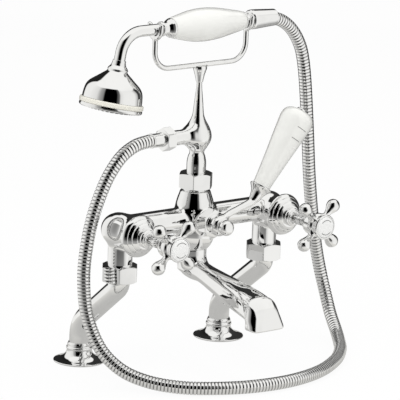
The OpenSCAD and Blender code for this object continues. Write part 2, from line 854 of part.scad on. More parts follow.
module handset_tail() {
    color(chrome) across() difference() {
        turned([
            [0, 61], [8.6, 61], [9.6, 62], [9.8, 64], [9.6, 70], [9.1, tail_x - 1], [8.8, tail_x],
            [0, tail_x],
        ]);
        translate([0, 0, 60]) cylinder(r = tube_r + seat_fit, h = 14);
        translate([0, 0, 60]) cylinder(r = 3.5, h = 40);
    }
}

foot_flange(-1);  // left_foot_flange
foot_flange(1);  // right_foot_flange
leg(-1);  // left_leg
leg(1);  // right_leg
union_nut(-1);  // left_union_nut
union_nut(1);  // right_union_nut
leg_washer(-1);  // left_leg_washer
leg_washer(1);  // right_leg_washer
body();
spout();
cartridge(-1);  // left_cartridge
cartridge(1);  // right_cartridge
fixed_disc(-1);  // left_fixed_disc
fixed_disc(1);  // right_fixed_disc
shroud(-1);  // left_shroud
shroud(1);  // right_shroud
gland(-1);  // left_gland
gland(1);  // right_gland
turning_disc(-1);  // left_turning_disc
turning_disc(1);  // right_turning_disc
spindle(-1);  // left_spindle
spindle(1);  // right_spindle
handle(-1);  // left_handle
handle(1);  // right_handle
handle_screw(-1);  // left_handle_screw
handle_screw(1);  // right_handle_screw
index(-1);  // left_index
index(1);  // right_index
bezel(-1);  // left_bezel
bezel(1);  // right_bezel
diverter_bonnet();
diverter_stem();
diverter_lever();
lever_cap();
lever_grip();
lever_end_screw();
column_nut();
riser_washer();
riser();
cradle();
hose_nut();
hose_washer();
hose_ferrule();
hose();
handset_head();
handset_ring();
handset_rim();
handset_rose();
handset_neck();
handset_front_ferrule();
handset_grip();
handset_rear_ferrule();
handset_tail();
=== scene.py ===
"""Visual pieces of the bath shower mixer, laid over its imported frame."""

import math

import bpy
import numpy as np
from bpy.props import FloatProperty, FloatVectorProperty, IntProperty, PointerProperty
from mathutils import Matrix, Vector


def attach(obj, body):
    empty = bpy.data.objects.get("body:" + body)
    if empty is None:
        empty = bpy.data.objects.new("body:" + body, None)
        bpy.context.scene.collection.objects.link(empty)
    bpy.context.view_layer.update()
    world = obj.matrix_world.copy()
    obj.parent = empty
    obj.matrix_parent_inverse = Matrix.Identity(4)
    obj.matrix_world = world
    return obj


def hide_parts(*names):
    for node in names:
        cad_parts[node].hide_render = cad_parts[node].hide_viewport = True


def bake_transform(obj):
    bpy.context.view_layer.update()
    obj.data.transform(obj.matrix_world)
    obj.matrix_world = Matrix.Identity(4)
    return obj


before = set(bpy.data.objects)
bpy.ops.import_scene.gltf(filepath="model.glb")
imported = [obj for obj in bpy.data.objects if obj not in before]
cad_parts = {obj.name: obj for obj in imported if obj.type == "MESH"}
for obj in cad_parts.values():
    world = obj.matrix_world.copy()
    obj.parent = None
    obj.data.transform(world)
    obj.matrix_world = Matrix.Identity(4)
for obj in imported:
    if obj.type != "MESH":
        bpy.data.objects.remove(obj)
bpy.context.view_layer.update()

bl_info = {
    "name": "Bath Shower Mixer",
    "version": (1, 0, 0),
    "blender": (4, 5, 0),
    "location": "View3D > Sidebar > Mixer",
    "description": "Builds the chrome, ceramic and hose pieces of a bath shower mixer",
    "category": "Object",
}

MM = 0.001
SIDES = ((-1, "left"), (1, "right"))
CREASE = math.radians(32)

# Main places in millimetres: the bar stands REACH in front of the tap holes.
REACH = 64.0
BAR = 150.0
HOLE_X = 90.0
INLET_X = 92.0
VALVE_DROP = 1.7
UNION_Z = 97.0
OUTLET_H = 84.0
RAIL_H = 155.0
AXIS_H = 195.0
SADDLE_X = 57.5
LEVER_G = 40.0
LEVER_PATH = [(3, 6), (12, 11), (22, 14), (32, 17), (39, 19.4), (43.5, 23), (48, 29)]
GRIP_AT = (48.0, 29.0)
GRIP_TILT = math.radians(34)
HEAD_TILT = math.radians(11.4)
ELBOW_R = 24.0
ELBOW_X = 75.7
HEAD_DROP = 49.6
NECK_R = 5.5

# Camera: angles in degrees, lens in millimetres, and the eye in metres along the camera's own axes.
CAMERA_TURN = -39.34
CAMERA_RISE = 13.12
CAMERA_ROLL = 2.19
CAMERA_LENS = 310.5
CAMERA_BACK = 3.518
CAMERA_RIGHT = 0.04557
CAMERA_UP = 0.15248

# Spout sections: forward from the bar axis, top, bottom, half width, squareness.
SPOUT_ROWS = [
    (-13, -41, -52, 5.0, 2.0),
    (-11.5, -39, -56, 8.8, 2.0),
    (-6, -37, -60, 12.1, 2.0),
    (2, -38, -62, 12.9, 2.0),
    (18, -43, -62.5, 11.9, 2.1),
    (41, -47, -68, 13.3, 2.3),
    (67, -51, -74, 15.6, 2.8),
    (92, -55.6, -78, 17.6, 3.4),
    (104, -59, -80, 18.1, 3.7),
    (113, -62.5, -82, 18.2, 4.0),
    (124, -67, -84, 18.2, 4.0),
    (130, -69.5, -85, 18.2, 4.0),
]

# Hose route from the ferrule to the handset, y measured from the bar axis.
HOSE_ROUTE = [
    (-52, 0, 234), (-57, 0, 234), (-62, 0, 234), (-77, 0, 231.6), (-92, 0, 224), (-104, 0, 212),
    (-115, 0, 195), (-126, 0, 169), (-133, 0, 141), (-137, -1, 110), (-136, -4, 78), (-132, -11, 53),
    (-126, -23, 33), (-116, -41, 18.5), (-102, -61, 11), (-85, -81, 8), (-63, -100, 7.5),
    (-22, -119, 7.5), (26, -124.5, 7.5), (73, -114.5, 7.5), (115, -91.5, 7.5),
    (145, -65, 7.5), (162, -44, 8.5), (174, -25, 14), (181, -7, 27), (184, 6, 46), (182, 13, 68),
    (175, 13, 93), (164, 9, 130), (152, 3, 176), (144, 0, 227), (138, 0, 276), (133, 0, 302),
    (127, 0, 317), (117, 0, 330.6), (105, 0, 339.6), (93, 0, 344), (86, 0, 345), (82.5, 0, 345),
    (79, 0, 345),
]


# Places


def forward(x=0.0, g=0.0):
    """Frame whose z axis points to the front, g in front of the bar axis."""
    return Matrix.Translation((x, -REACH - g, BAR)) @ Matrix.Rotation(math.radians(90), 4, "X")


def at_valve(side):
    """Frame of a valve: z to the front along its axis, a little below the bar."""
    return forward(side * INLET_X) @ Matrix.Translation((0, -VALVE_DROP, 0))


def upward(h=0.0):
    """Frame on the column's axis, h above the bar axis."""
    return Matrix.Translation((0, -REACH, BAR + h))


def across():
    """Frame whose z axis runs along the handset towards +X."""
    return Matrix.Translation((0, -REACH, BAR + AXIS_H)) @ Matrix.Rotation(math.radians(90), 4, "Y")


def hoseward(x=0.0):
    """Frame whose z axis runs along the hose outlet towards -X."""
    return Matrix.Translation((-x, -REACH, BAR + OUTLET_H)) @ Matrix.Rotation(math.radians(-90), 4, "Y")


def at_head():
    """Frame of the shower head: z up its tilted axis, origin in the middle of the ring."""
    start = Matrix.Translation((
        -ELBOW_X - ELBOW_R * math.cos(HEAD_TILT),
        -REACH,
        BAR + AXIS_H - ELBOW_R * (1 - math.sin(HEAD_TILT)),
    ))
    return start @ Matrix.Rotation(HEAD_TILT, 4, "Y") @ Matrix.Translation((0, 0, -HEAD_DROP))


def at_grip():
    """Frame of the lever grip: z along the grip, origin at the cup."""
    turn = Matrix.Rotation(math.radians(-90), 4, "X") @ Matrix.Rotation(GRIP_TILT, 4, "Y")
    return forward(0, LEVER_G) @ Matrix.Translation((*GRIP_AT, 0)) @ turn


# Outlines


def rounded(corners, radius=0.4, steps=5, ring=False):
    """Line through the corners with each one rounded; a corner may name its own radius."""
    out = []
    count = len(corners)
    for i, corner in enumerate(corners):
        here = np.array(corner[:2], float)
        if not ring and i in (0, count - 1):
            out.append(tuple(here))
            continue
        before = np.array(corners[i - 1][:2], float) - here
        after = np.array(corners[(i + 1) % count][:2], float) - here
        a, b = np.linalg.norm(before), np.linalg.norm(after)
        before, after = before / a, after / b
        half = math.acos(float(np.clip(before @ after, -1, 1))) / 2
        wanted = corner[2] if len(corner) > 2 else radius
        cut = min(wanted / max(math.tan(half), 1e-6), 0.45 * a, 0.45 * b)
        if half > 1.5 or cut < 1e-3:
            out.append(tuple(here))
            continue
        for k in range(steps + 1):
            t = k / steps
            ends = (1 - t) ** 2 * (here + before * cut) + t * t * (here + after * cut)
            out.append(tuple(ends + 2 * t * (1 - t) * here))
    return out


def flowing(knots, steps=6):
    """Smooth line through the knots, in any number of dimensions."""
    p = np.array(knots, float)
    p = np.vstack([p[:1], p, p[-1:]])
    t = np.linspace(0, 1, steps, endpoint=False)[:, None]
    out = []
    for a, b, c, d in zip(p, p[1:], p[2:], p[3:]):
        square, cube = 2 * a - 5 * b + 4 * c - d, 3 * b - a - 3 * c + d
        out.append(0.5 * (2 * b + (c - a) * t + square * t**2 + cube * t**3))
    return np.vstack(out + [p[-1:]])


def pairs(line):
    return [tuple(point) for point in line]


# Forms: each returns its points in millimetres and its faces


def loft(loops, ring=False):
    """Skin over loops of equal size; a loop of one point is a pole, and open ends are closed flat."""
    loops = [np.atleast_2d(np.array(loop, float)) for loop in loops]
    if not ring:
        if len(loops[0]) > 1:
            loops.insert(0, loops[0].mean(0)[None])
        if len(loops[-1]) > 1:
            loops.append(loops[-1].mean(0)[None])
    starts = np.cumsum([0] + [len(loop) for loop in loops])
    faces = []
    spans = len(loops) if ring else len(loops) - 1
    for i in range(spans):
        j = (i + 1) % len(loops)
        m, n = len(loops[i]), len(loops[j])
        sides = max(m, n)
        for k in range(sides):
            q = (k + 1) % sides
            a, b = starts[i] + k % m, starts[i] + q % m
            c, d = starts[j] + q % n, starts[j] + k % n
            face = [a, b, c, d]
            if m == 1:
                face = [a, c, d]
            elif n == 1:
                face = [a, b, c]
            faces.append([int(v) for v in face])
    return np.vstack(loops), faces


def turned(profile, sides=96, ring=False):
    """Solid of revolution about z; the profile runs upwards on its outside."""
    angle = np.linspace(0, 2 * math.pi, sides, endpoint=False)
    loops = []
    for r, z in profile:
        if r < 1e-4:
            loops.append([(0, 0, z)])
        else:
            loops.append(np.column_stack([r * np.cos(angle), r * np.sin(angle), np.full(sides, z)]))
    return loft(loops, ring)


def sleeve(outside, bore, sides=96):
    """Turned ring: the outside line upwards, closed by a straight bore."""
    return turned(list(outside) + [(bore, outside[-1][1]), (bore, outside[0][1])], sides, True)


def hexagon(af, height, turn, bore):
    """Hexagonal ring with softened corners and both rims turned down."""
    corner, soft = af / 2 / math.cos(math.radians(30)), 0.7
    spots = [(corner * math.cos(a), corner * math.sin(a), soft) for a in np.radians(60 * np.arange(6) + turn)]
    rough = np.array(rounded(spots, ring=True, steps=4))
    outline = []
    for a, b in zip(rough, np.roll(rough, -1, 0)):
        cuts = 10 if np.linalg.norm(b - a) > af / 4 else 1
        outline += [a + (b - a) * k / cuts for k in range(cuts)]
    outline = np.array(outline)
    far = np.linalg.norm(outline, axis=1)[:, None]
    rim = af / 2 - 0.5
    flat, inner = outline / far * rim, outline / far * bore
    drop = (far - rim) * 0.55

    def at(xy, z):
        return np.hstack([xy, np.broadcast_to(z, (len(xy), 1))])

    loops = [at(flat, 0.0), at(outline, drop), at(outline, height - drop), at(flat, height)]
    return loft(loops + [at(inner, height), at(inner, 0.0)], ring=True)


def sweep(path, radii, sides=48):
    """Round rod of changing radius along a path."""
    path = np.array(path, float)
    tangent = np.gradient(path, axis=0)
    tangent /= np.linalg.norm(tangent, axis=1)[:, None]
    side = np.cross(tangent[0], (0.3, 0.9, 0.2))
    angle = np.linspace(0, 2 * math.pi, sides, endpoint=False)[:, None]
    loops = []
    for point, along, radius in zip(path, tangent, np.broadcast_to(radii, len(path))):
        side = side - (side @ along) * along
        side /= np.linalg.norm(side)
        other = np.cross(along, side)
        loops.append(point + radius * (np.cos(angle) * side + np.sin(angle) * other))
    return loft(loops)


def arc(centre, radius, start, end, steps):
    """Points on an arc in a plane, angles in degrees."""
    angle = np.radians(np.linspace(start, end, steps + 1))
    return np.column_stack([centre[0] + radius * np.cos(angle), centre[1] + radius * np.sin(angle)])


def bow(radius, middle, half, height, thick, steps):
    """Thin rod bent along part of a circle round z, angles in degrees."""
    line = arc((0, 0), radius, middle - half, middle + half, steps)
    return sweep([(x, y, height) for x, y in line], thick, 8)


# Cast forms: solids given by fields that are negative inside


def merged(a, b, blend):
    """Union of two fields with a fillet of about the given size."""
    h = np.maximum(blend - np.abs(a - b), 0) / blend
    return np.minimum(a, b) - h * h * blend / 4


def cut_by(a, b, blend):
    """Part of a that also lies in b, with a rounded edge."""
    return -merged(-a, -b, blend)


def line_of(knots):
    """Smooth height over a line of (place, value) knots, with its slope."""
    place, value = np.array(knots, float).T
    slope = np.gradient(value, place)
    dense = np.arange(place[0], place[-1] + 0.05, 0.1)
    i = np.clip(np.searchsorted(place, dense, "right") - 1, 0, len(place) - 2)
    span = place[i + 1] - place[i]
    t = (dense - place[i]) / span
    height = (
        (2 * t**3 - 3 * t**2 + 1) * value[i]
        + (t**3 - 2 * t**2 + t) * span * slope[i]
        + (3 * t**2 - 2 * t**3) * value[i + 1]
        + (t**3 - t**2) * span * slope[i + 1]
    )
    return dense, height, np.gradient(height, dense)


def spun(line, r, z, edge=1.5):
    """Field of a turned form whose radius follows the line, its two ends rounded."""
    place, height, slope = line
    steep = np.sqrt(1 + np.interp(z, place, slope) ** 2)
    flank = (r - np.interp(z, place, height)) / steep
    return cut_by(flank, np.maximum(place[0] - z, z - place[-1]), edge)


def along_rod(x, y, z, path, radii):
    """Field of a rod of changing radius along a path of points."""
    best = np.full(np.shape(x), 1e9)
    for a, b, ra, rb in zip(path, path[1:], radii, radii[1:]):
        d = b - a
        t = np.clip(((x - a[0]) * d[0] + (y - a[1]) * d[1] + (z - a[2]) * d[2]) / (d @ d), 0, 1)
        off = np.sqrt((x - a[0] - t * d[0]) ** 2 + (y - a[1] - t * d[1]) ** 2 + (z - a[2] - t * d[2]) ** 2)
        best = np.minimum(best, off - (ra + t * (rb - ra)))
    return best


def cast(field, low, high, step):
    """Skin of the solid where the field is negative: points, faces and point normals."""
    axes = [np.arange(a - 2 * step, b + 3 * step, step) for a, b in zip(low, high)]
    value = field(*np.meshgrid(*axes, indexing="ij"))
    inside = value < 0
    spots = [(i, j, k) for i in (0, 1) for j in (0, 1) for k in (0, 1)]
    ends = [slice(None, -1), slice(1, None)]
    filled = sum(inside[ends[i], ends[j], ends[k]].astype(int) for i, j, k in spots)
    active = (filled > 0) & (filled < 8)
    corner = np.argwhere(active)
    number = np.full(active.shape, -1)
    number[active] = np.arange(len(corner))
    total, hits = np.zeros((len(corner), 3)), np.zeros(len(corner))
    at = {spot: value[tuple((corner + spot).T)] for spot in spots}
    for spot in spots:
        for axis in range(3):
            if spot[axis]:
                continue
            far = tuple(1 if k == axis else spot[k] for k in range(3))
            crossing = (at[spot] < 0) != (at[far] < 0)
            share = np.where(crossing, at[spot] / np.where(crossing, at[spot] - at[far], 1), 0)
            total += np.where(crossing[:, None], np.array(spot) + share[:, None] * np.eye(3)[axis], 0)
            hits += crossing
    points = np.array([axis[0] for axis in axes]) + (corner + total / hits[:, None]) * step
    faces = []
    for axis in range(3):
        u, v = np.eye(3, dtype=int)[(axis + 1) % 3], np.eye(3, dtype=int)[(axis + 2) % 3]
        lower = [slice(None)] * 3
        upper = [slice(None)] * 3
        lower[axis], upper[axis] = ends
        near = inside[tuple(lower)]
        spot = np.argwhere(near != inside[tuple(upper)])
        quad = np.stack([number[tuple((spot - d).T)] for d in (u + v, v, 0 * u, u)], axis=1)
        flip = ~near[tuple(spot.T)]
        quad[flip] = quad[flip][:, ::-1]
        faces += quad.tolist()
    tiny = 0.02
    for _ in range(5):
        slope = np.stack([
            (field(*(points + e).T) - field(*(points - e).T)) / (2 * tiny) for e in tiny * np.eye(3)
        ], axis=1)
        steep = np.maximum((slope**2).sum(1), 0.05)[:, None]
        points = points - np.clip(field(*points.T)[:, None] * slope / steep, -step / 2, step / 2)
    return points, faces, slope / np.maximum(np.linalg.norm(slope, axis=1), 1e-9)[:, None]


# Pieces


def put(points, place):
    """Local millimetres to metres in the frame."""
    m = np.array(place)
    return (np.asarray(points) @ m[:3, :3].T + m[:3, 3]) * MM


def in_metres(place):
    """The place's move for points that are in metres already."""
    return Matrix.Scale(MM, 4) @ place @ Matrix.Scale(1 / MM, 4)


def added(name, data):
    """New object in the scene."""
    made = bpy.data.objects.new(name, data)
    bpy.context.scene.collection.objects.link(made)
    return made


def piece(name, forms, place, material):
    """One object made of the given forms, smooth up to the crease angle."""
    points, faces, start = [], [], 0
    for form in forms:
        points.append(put(form[0], place))
        faces += [[v + start for v in face] for face in form[1]]
        start += len(form[0])
    mesh = bpy.data.meshes.new(name)
    mesh.from_pydata(np.vstack(points).tolist(), [], faces)
    mesh.polygons.foreach_set("use_smooth", [True] * len(faces))
    if len(forms) == 1 and len(forms[0]) == 3:
        turn = np.array(place)[:3, :3]
        mesh.normals_split_custom_set_from_vertices((forms[0][2] @ turn.T).tolist())
    else:
        mesh.set_sharp_from_angle(angle=CREASE)
    mesh.materials.append(bpy.data.materials[material])
    mesh.validate()
    return added(name, mesh)


def fit(made, body, slot, *nodes):
    """The piece moves with the body and stands for the nodes; the slot is not used."""
    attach(made, body)
    if nodes:
        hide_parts(*nodes)
    return made


def chrome(name, form, place, body, node):
    return fit(piece(name, [form], place, "polished_chrome"), body, "chrome", node)


# Finishes


def preset(node, inputs):
    for key, value in inputs.items():
        node.inputs[key].default_value = value


def new_node(tree, kind, inputs=None, **values):
    node = tree.nodes.new(kind)
    for key, value in values.items():
        setattr(node, key, value)
    preset(node, inputs or {})
    return node


def wire(tree, *links):
    """Links, each given as a node, its output, the next node and its input."""
    for source, output, target, entry in links:
        tree.links.new(source.outputs[output], target.inputs[entry])


def handling_marks():
    """Shader group: a soft mask of wiped smears and a fine height for polished surfaces."""
    tree = bpy.data.node_groups.new("handling_marks", "ShaderNodeTree")
    tree.interface.new_socket("Place", in_out="INPUT", socket_type="NodeSocketVector")
    tree.interface.new_socket("Size", in_out="INPUT", socket_type="NodeSocketFloat").default_value = 60.0
    tree.interface.new_socket("Smears", in_out="OUTPUT", socket_type="NodeSocketFloat")
    tree.interface.new_socket("Height", in_out="OUTPUT", socket_type="NodeSocketFloat")
    start, end = tree.nodes.new("NodeGroupInput"), tree.nodes.new("NodeGroupOutput")
    broad = new_node(tree, "ShaderNodeTexNoise", {"Detail": 4, "Roughness": 0.6, "Distortion": 1.2})
    finer = new_node(tree, "ShaderNodeMath", {1: 9.0}, operation="MULTIPLY")
    fine = new_node(tree, "ShaderNodeTexNoise", {"Detail": 2})
    spread = new_node(
        tree, "ShaderNodeMapRange", {"From Min": 0.42, "From Max": 0.72}, interpolation_type="SMOOTHSTEP")
    wire(
        tree, (start, "Place", broad, "Vector"), (start, "Size", broad, "Scale"),
        (start, "Size", finer, 0), (start, "Place", fine, "Vector"), (finer, 0, fine, "Scale"),
        (broad, "Fac", spread, "Value"), (spread, "Result", end, "Smears"), (fine, "Fac", end, "Height"))
    return tree


def surface(name, clean, wear, roughness, marks, size, metallic=0.0, coat=0.0, bump=0.02):
    """Procedural finish: two close tones, roughness and a fine bump follow the handling marks."""
    material = bpy.data.materials.new(name)
    material.use_nodes = True
    tree = material.node_tree
    shader = tree.nodes["Principled BSDF"]
    preset(shader, {"Metallic": metallic, "Coat Weight": coat, "Coat Roughness": 0.04})
    where = new_node(tree, "ShaderNodeTexCoord")
    group = new_node(tree, "ShaderNodeGroup", {"Size": size}, node_tree=marks)
    tones = {"A": (*clean, 1), "B": (*shaded(clean, wear), 1)}
    tone = new_node(tree, "ShaderNodeMix", tones, data_type="RGBA")
    rough = new_node(tree, "ShaderNodeMapRange", {"To Min": roughness[0], "To Max": roughness[1]})
    relief = new_node(tree, "ShaderNodeBump", {"Strength": bump, "Distance": 0.00005})
    wire(
        tree, (where, "Object", group, "Place"), (group, "Smears", tone, "Factor"),
        (tone, "Result", shader, "Base Color"), (group, "Smears", rough, "Value"),
        (rough, "Result", shader, "Roughness"), (group, "Height", relief, "Height"),
        (relief, "Normal", shader, "Normal"))
    return material


def shaded(colour, share):
    return tuple(channel * share for channel in colour)


def ribbed_metal(name, clean, groove, marks):
    """Hose finish: bright metal on the rib crowns and painted shade in the grooves, told apart by the groove
    attribute.
    """
    material = surface(name, clean, 0.94, (0.02, 0.06), marks, 140.0, metallic=1.0)
    tree = material.node_tree
    shader = tree.nodes["Principled BSDF"]
    worn = shader.inputs["Base Color"].links[0].from_socket
    # The groove attribute masks the painted shade, which darkens the colour in the grooves.
    rib = new_node(tree, "ShaderNodeAttribute", attribute_name="groove")
    groove_shade_mix = new_node(tree, "ShaderNodeMix", {"B": (*groove, 1)}, data_type="RGBA")
    wire(tree, (rib, "Fac", groove_shade_mix, "Factor"))
    tree.links.new(worn, groove_shade_mix.inputs["A"])
    wire(tree, (groove_shade_mix, "Result", shader, "Base Color"))


def seen_ray(tree):
    """One for rays of the camera and for reflected and refracted ones."""
    ray = new_node(tree, "ShaderNodeLightPath")
    seen = new_node(tree, "ShaderNodeMath", operation="MAXIMUM")
    through = new_node(tree, "ShaderNodeMath", operation="MAXIMUM")
    wire(
        tree, (ray, "Is Camera Ray", seen, 0), (ray, "Is Glossy Ray", seen, 1), (seen, 0, through, 0),
        (ray, "Is Transmission Ray", through, 1))
    return through.outputs[0]


def pale(material, share, near, far):
    """White backdrop to the camera and a greyer one in reflections, with a painted shadow that makes it
    greyest under the part.
    """
    tree = material.node_tree
    ray = new_node(tree, "ShaderNodeLightPath")
    place = new_node(tree, "ShaderNodeNewGeometry")
    away = new_node(tree, "ShaderNodeVectorMath", operation="LENGTH")
    # Painted shadow in reflections: the near tone within 0.14 m of the origin under the part, blending to the
    # far tone by 0.28 m.
    share_far = new_node(tree, "ShaderNodeMapRange", {"From Min": 0.14, "From Max": 0.28})
    reflected_tone_and_shadow = new_node(tree, "ShaderNodeMix", {"A": (*near, 1), "B": (*far, 1)}, data_type="RGBA")
    tone = new_node(tree, "ShaderNodeMix", {"A": (1, 1, 1, 1)}, data_type="RGBA")
    glow = new_node(tree, "ShaderNodeEmission")
    weight = new_node(tree, "ShaderNodeMath", {1: share}, operation="MULTIPLY")
    mix = new_node(tree, "ShaderNodeMixShader")
    wire(
        tree, (place, "Position", away, 0), (away, "Value", share_far, "Value"),
        (share_far, "Result", reflected_tone_and_shadow, "Factor"), (reflected_tone_and_shadow, "Result", tone, "B"),
        (ray, "Is Glossy Ray", tone, "Factor"), (tone, "Result", glow, "Color"))
    tree.links.new(seen_ray(tree), weight.inputs[0])
    wire(tree, (weight, 0, mix, "Fac"))
    tree.links.new(tree.nodes["Principled BSDF"].outputs[0], mix.inputs[1])
    wire(tree, (glow, 0, mix, 2))
    tree.links.new(mix.outputs[0], tree.nodes["Material Output"].inputs["Surface"])


def tent_cloth(name, colour):
    """Glow of the studio's walls, as bright as their tone attribute says."""
    material = bpy.data.materials.new(name)
    material.use_nodes = True
    tree = material.node_tree
    wall = new_node(tree, "ShaderNodeAttribute", attribute_name="tone")
    shade = new_node(tree, "ShaderNodeMix", {"A": (0, 0, 0, 1), "B": (*colour, 1)}, data_type="RGBA")
    glow = new_node(tree, "ShaderNodeEmission")
    wire(tree, (wall, "Fac", shade, "Factor"), (shade, "Result", glow, "Color"))
    tree.links.new(glow.outputs[0], tree.nodes["Material Output"].inputs["Surface"])


# Trees that repeat a form


def node_tree(name, inputs):
    """Geometry tree with named inputs and one geometry output."""
    tree = bpy.data.node_groups.new(name, "GeometryNodeTree")
    tree.interface.new_socket("Geometry", in_out="INPUT", socket_type="NodeSocketGeometry")
    for label, kind in inputs:
        tree.interface.new_socket(label, in_out="INPUT", socket_type=kind)
    tree.interface.new_socket("Geometry", in_out="OUTPUT", socket_type="NodeSocketGeometry")
    return tree, tree.nodes.new("NodeGroupInput"), tree.nodes.new("NodeGroupOutput")


def end_tree(tree, start, end, geometry):
    """Realize, smooth and paint the result."""
    real = new_node(tree, "GeometryNodeRealizeInstances")
    smooth = new_node(tree, "GeometryNodeSetShadeSmooth")
    paint = new_node(tree, "GeometryNodeSetMaterial")
    tree.links.new(geometry, real.inputs["Geometry"])
    wire(
        tree, (real, "Geometry", smooth, "Geometry"), (smooth, "Geometry", paint, "Geometry"),
        (start, "Finish", paint, "Material"), (paint, "Geometry", end, "Geometry"))
    return tree


def rib_tree():
    """Corrugated tube along the seed's line of edges."""
    tree, start, end = node_tree("hose_ribs", [
        ("Radius", "NodeSocketFloat"), ("Depth", "NodeSocketFloat"), ("Ribs", "NodeSocketInt"),
        ("Rings", "NodeSocketInt"), ("Sides", "NodeSocketInt"), ("Finish", "NodeSocketMaterial"),
    ])
    line = new_node(tree, "GeometryNodeMeshToCurve")
    count = new_node(tree, "ShaderNodeMath", {2: 1}, operation="MULTIPLY_ADD")
    even = new_node(tree, "GeometryNodeResampleCurve", mode="COUNT")
    index = new_node(tree, "GeometryNodeInputIndex")
    phase = new_node(tree, "ShaderNodeMath", operation="MODULO")
    share = new_node(tree, "ShaderNodeMath", operation="DIVIDE")
    centred = new_node(tree, "ShaderNodeMath", {1: 2, 2: -1}, operation="MULTIPLY_ADD")
    edge = new_node(tree, "ShaderNodeMath", operation="ABSOLUTE")
    # Painted shade mask, strongest where the tube narrows into each groove; stored as the groove attribute for
    # the hose's finish.
    groove = new_node(tree, "ShaderNodeMath", {1: 3.0}, operation="POWER")
    narrow = new_node(tree, "ShaderNodeMath", {1: 10.0}, operation="POWER")
    lost = new_node(tree, "ShaderNodeMath", operation="MULTIPLY")
    radius = new_node(tree, "ShaderNodeMath", operation="SUBTRACT")
    store = new_node(
        tree, "GeometryNodeStoreNamedAttribute", {"Name": "groove"}, data_type="FLOAT", domain="POINT")
    ring = new_node(tree, "GeometryNodeCurvePrimitiveCircle", {"Radius": 1})
    skin = new_node(tree, "GeometryNodeCurveToMesh", {"Fill Caps": True})
    wire(
        tree, (start, "Geometry", line, "Mesh"), (start, "Ribs", count, 0), (start, "Rings", count, 1),
        (line, "Curve", even, "Curve"), (count, 0, even, "Count"), (index, "Index", phase, 0),
        (start, "Rings", phase, 1), (phase, 0, share, 0), (start, "Rings", share, 1),
        (share, 0, centred, 0), (centred, 0, edge, 0), (edge, 0, groove, 0), (edge, 0, narrow, 0),
        (narrow, 0, lost, 0), (start, "Depth", lost, 1), (start, "Radius", radius, 0),
        (lost, 0, radius, 1), (even, "Curve", store, "Geometry"), (groove, 0, store, "Value"),
        (store, "Geometry", skin, "Curve"), (start, "Sides", ring, "Resolution"),
        (ring, "Curve", skin, "Profile Curve"), (radius, 0, skin, "Scale"))
    return end_tree(tree, start, end, skin.outputs["Mesh"])


def flute_tree():
    """Ring of slim rods round the z axis."""
    tree, start, end = node_tree("shank_flutes", [
        ("Count", "NodeSocketInt"), ("Circle", "NodeSocketFloat"), ("Rod", "NodeSocketFloat"),
        ("Length", "NodeSocketFloat"), ("Finish", "NodeSocketMaterial"),
    ])
    spots = new_node(tree, "GeometryNodeMeshCircle")
    rod = new_node(tree, "GeometryNodeMeshCylinder", {"Vertices": 8})
    copies = new_node(tree, "GeometryNodeInstanceOnPoints")
    wire(
        tree, (start, "Count", spots, "Vertices"), (start, "Circle", spots, "Radius"),
        (start, "Rod", rod, "Radius"), (start, "Length", rod, "Depth"), (spots, "Mesh", copies, "Points"),
        (rod, "Mesh", copies, "Instance"))
    return end_tree(tree, start, end, copies.outputs["Instances"])


def nozzle_tree(rings):
    """Rings of small nozzles on the face of the rose, each ring denser than the one inside it."""
    tree, start, end = node_tree("rose_nozzles", [
        ("Spacing", "NodeSocketFloat"), ("Nozzle", "NodeSocketFloat"), ("Height", "NodeSocketFloat"),
        ("Finish", "NodeSocketMaterial"),
    ])
    all_spots = new_node(tree, "GeometryNodeJoinGeometry")
    for k in range(rings):
        spots = new_node(tree, "GeometryNodeMeshCircle", {"Vertices": 6 * (k + 1)})
        reach = new_node(tree, "ShaderNodeMath", {1: k + 1}, operation="MULTIPLY")
        wire(
            tree, (start, "Spacing", reach, 0), (reach, 0, spots, "Radius"),
            (spots, "Mesh", all_spots, "Geometry"))
    nozzle = new_node(tree, "GeometryNodeMeshCone", {"Vertices": 10, "Radius Top": 0.0006})
    copies = new_node(tree, "GeometryNodeInstanceOnPoints")
    wire(
        tree, (start, "Nozzle", nozzle, "Radius Bottom"), (start, "Height", nozzle, "Depth"),
        (all_spots, "Geometry", copies, "Points"), (nozzle, "Mesh", copies, "Instance"))
    return end_tree(tree, start, end, copies.outputs["Instances"])


def grown(name, tree, values, points=(), edges=()):
    """Plain mesh object of what the tree makes from a seed of points and edges."""
    seed = bpy.data.meshes.new(name + "_seed")
    seed.from_pydata([tuple(p) for p in points], edges, [])
    made = added(name, seed)
    grower = made.modifiers.new("grow", "NODES")
    grower.node_group = tree
    for item in tree.interface.items_tree:
        if item.in_out == "INPUT" and item.name in values:
            grower[item.identifier] = values[item.name]
    graph = bpy.context.evaluated_depsgraph_get()
    mesh = bpy.data.meshes.new_from_object(made.evaluated_get(graph), depsgraph=graph)
    made.modifiers.clear()
    made.data = mesh
    mesh.name = name
    bpy.data.meshes.remove(seed)
    if not mesh.polygons:
        raise RuntimeError(name + " grew no faces")
    return made


def hose_line():
    """Points of the hose's centre line in metres."""
    route = np.array(HOSE_ROUTE, float) - (0, REACH, 0)
    return flowing(route, 8) * MM


# Sizes and colours


def length_setting(name, description, default):
    return FloatProperty(name=name, description=description, default=default, unit="LENGTH")


def count_setting(name, description, default, low, high):
    return IntProperty(name=name, description=description, default=default, min=low, max=high)


def colour_setting(name, description, default):
    return FloatVectorProperty(name=name, description=description, subtype="COLOR", size=3, default=default)


class MixerSizes(bpy.types.PropertyGroup):
    """Sizes of the repeated details"""

    hose_diameter: length_setting("Hose Diameter", "Outside diameter of the hose", 0.013)
    hose_ribs: count_setting("Hose Ribs", "Number of ribs along the hose", 300, 60, 400)
    rib_depth: length_setting("Rib Depth", "How deep the grooves between the ribs are", 0.0013)
    shank_flutes: count_setting("Shank Flutes", "Flutes round each handle shank", 14, 8, 24)
    nozzle_rings: count_setting("Nozzle Rings", "Rings of nozzles on the shower rose", 5, 1, 6)
    floor_width: length_setting("Floor Width", "Width of the pale floor", 30.0)


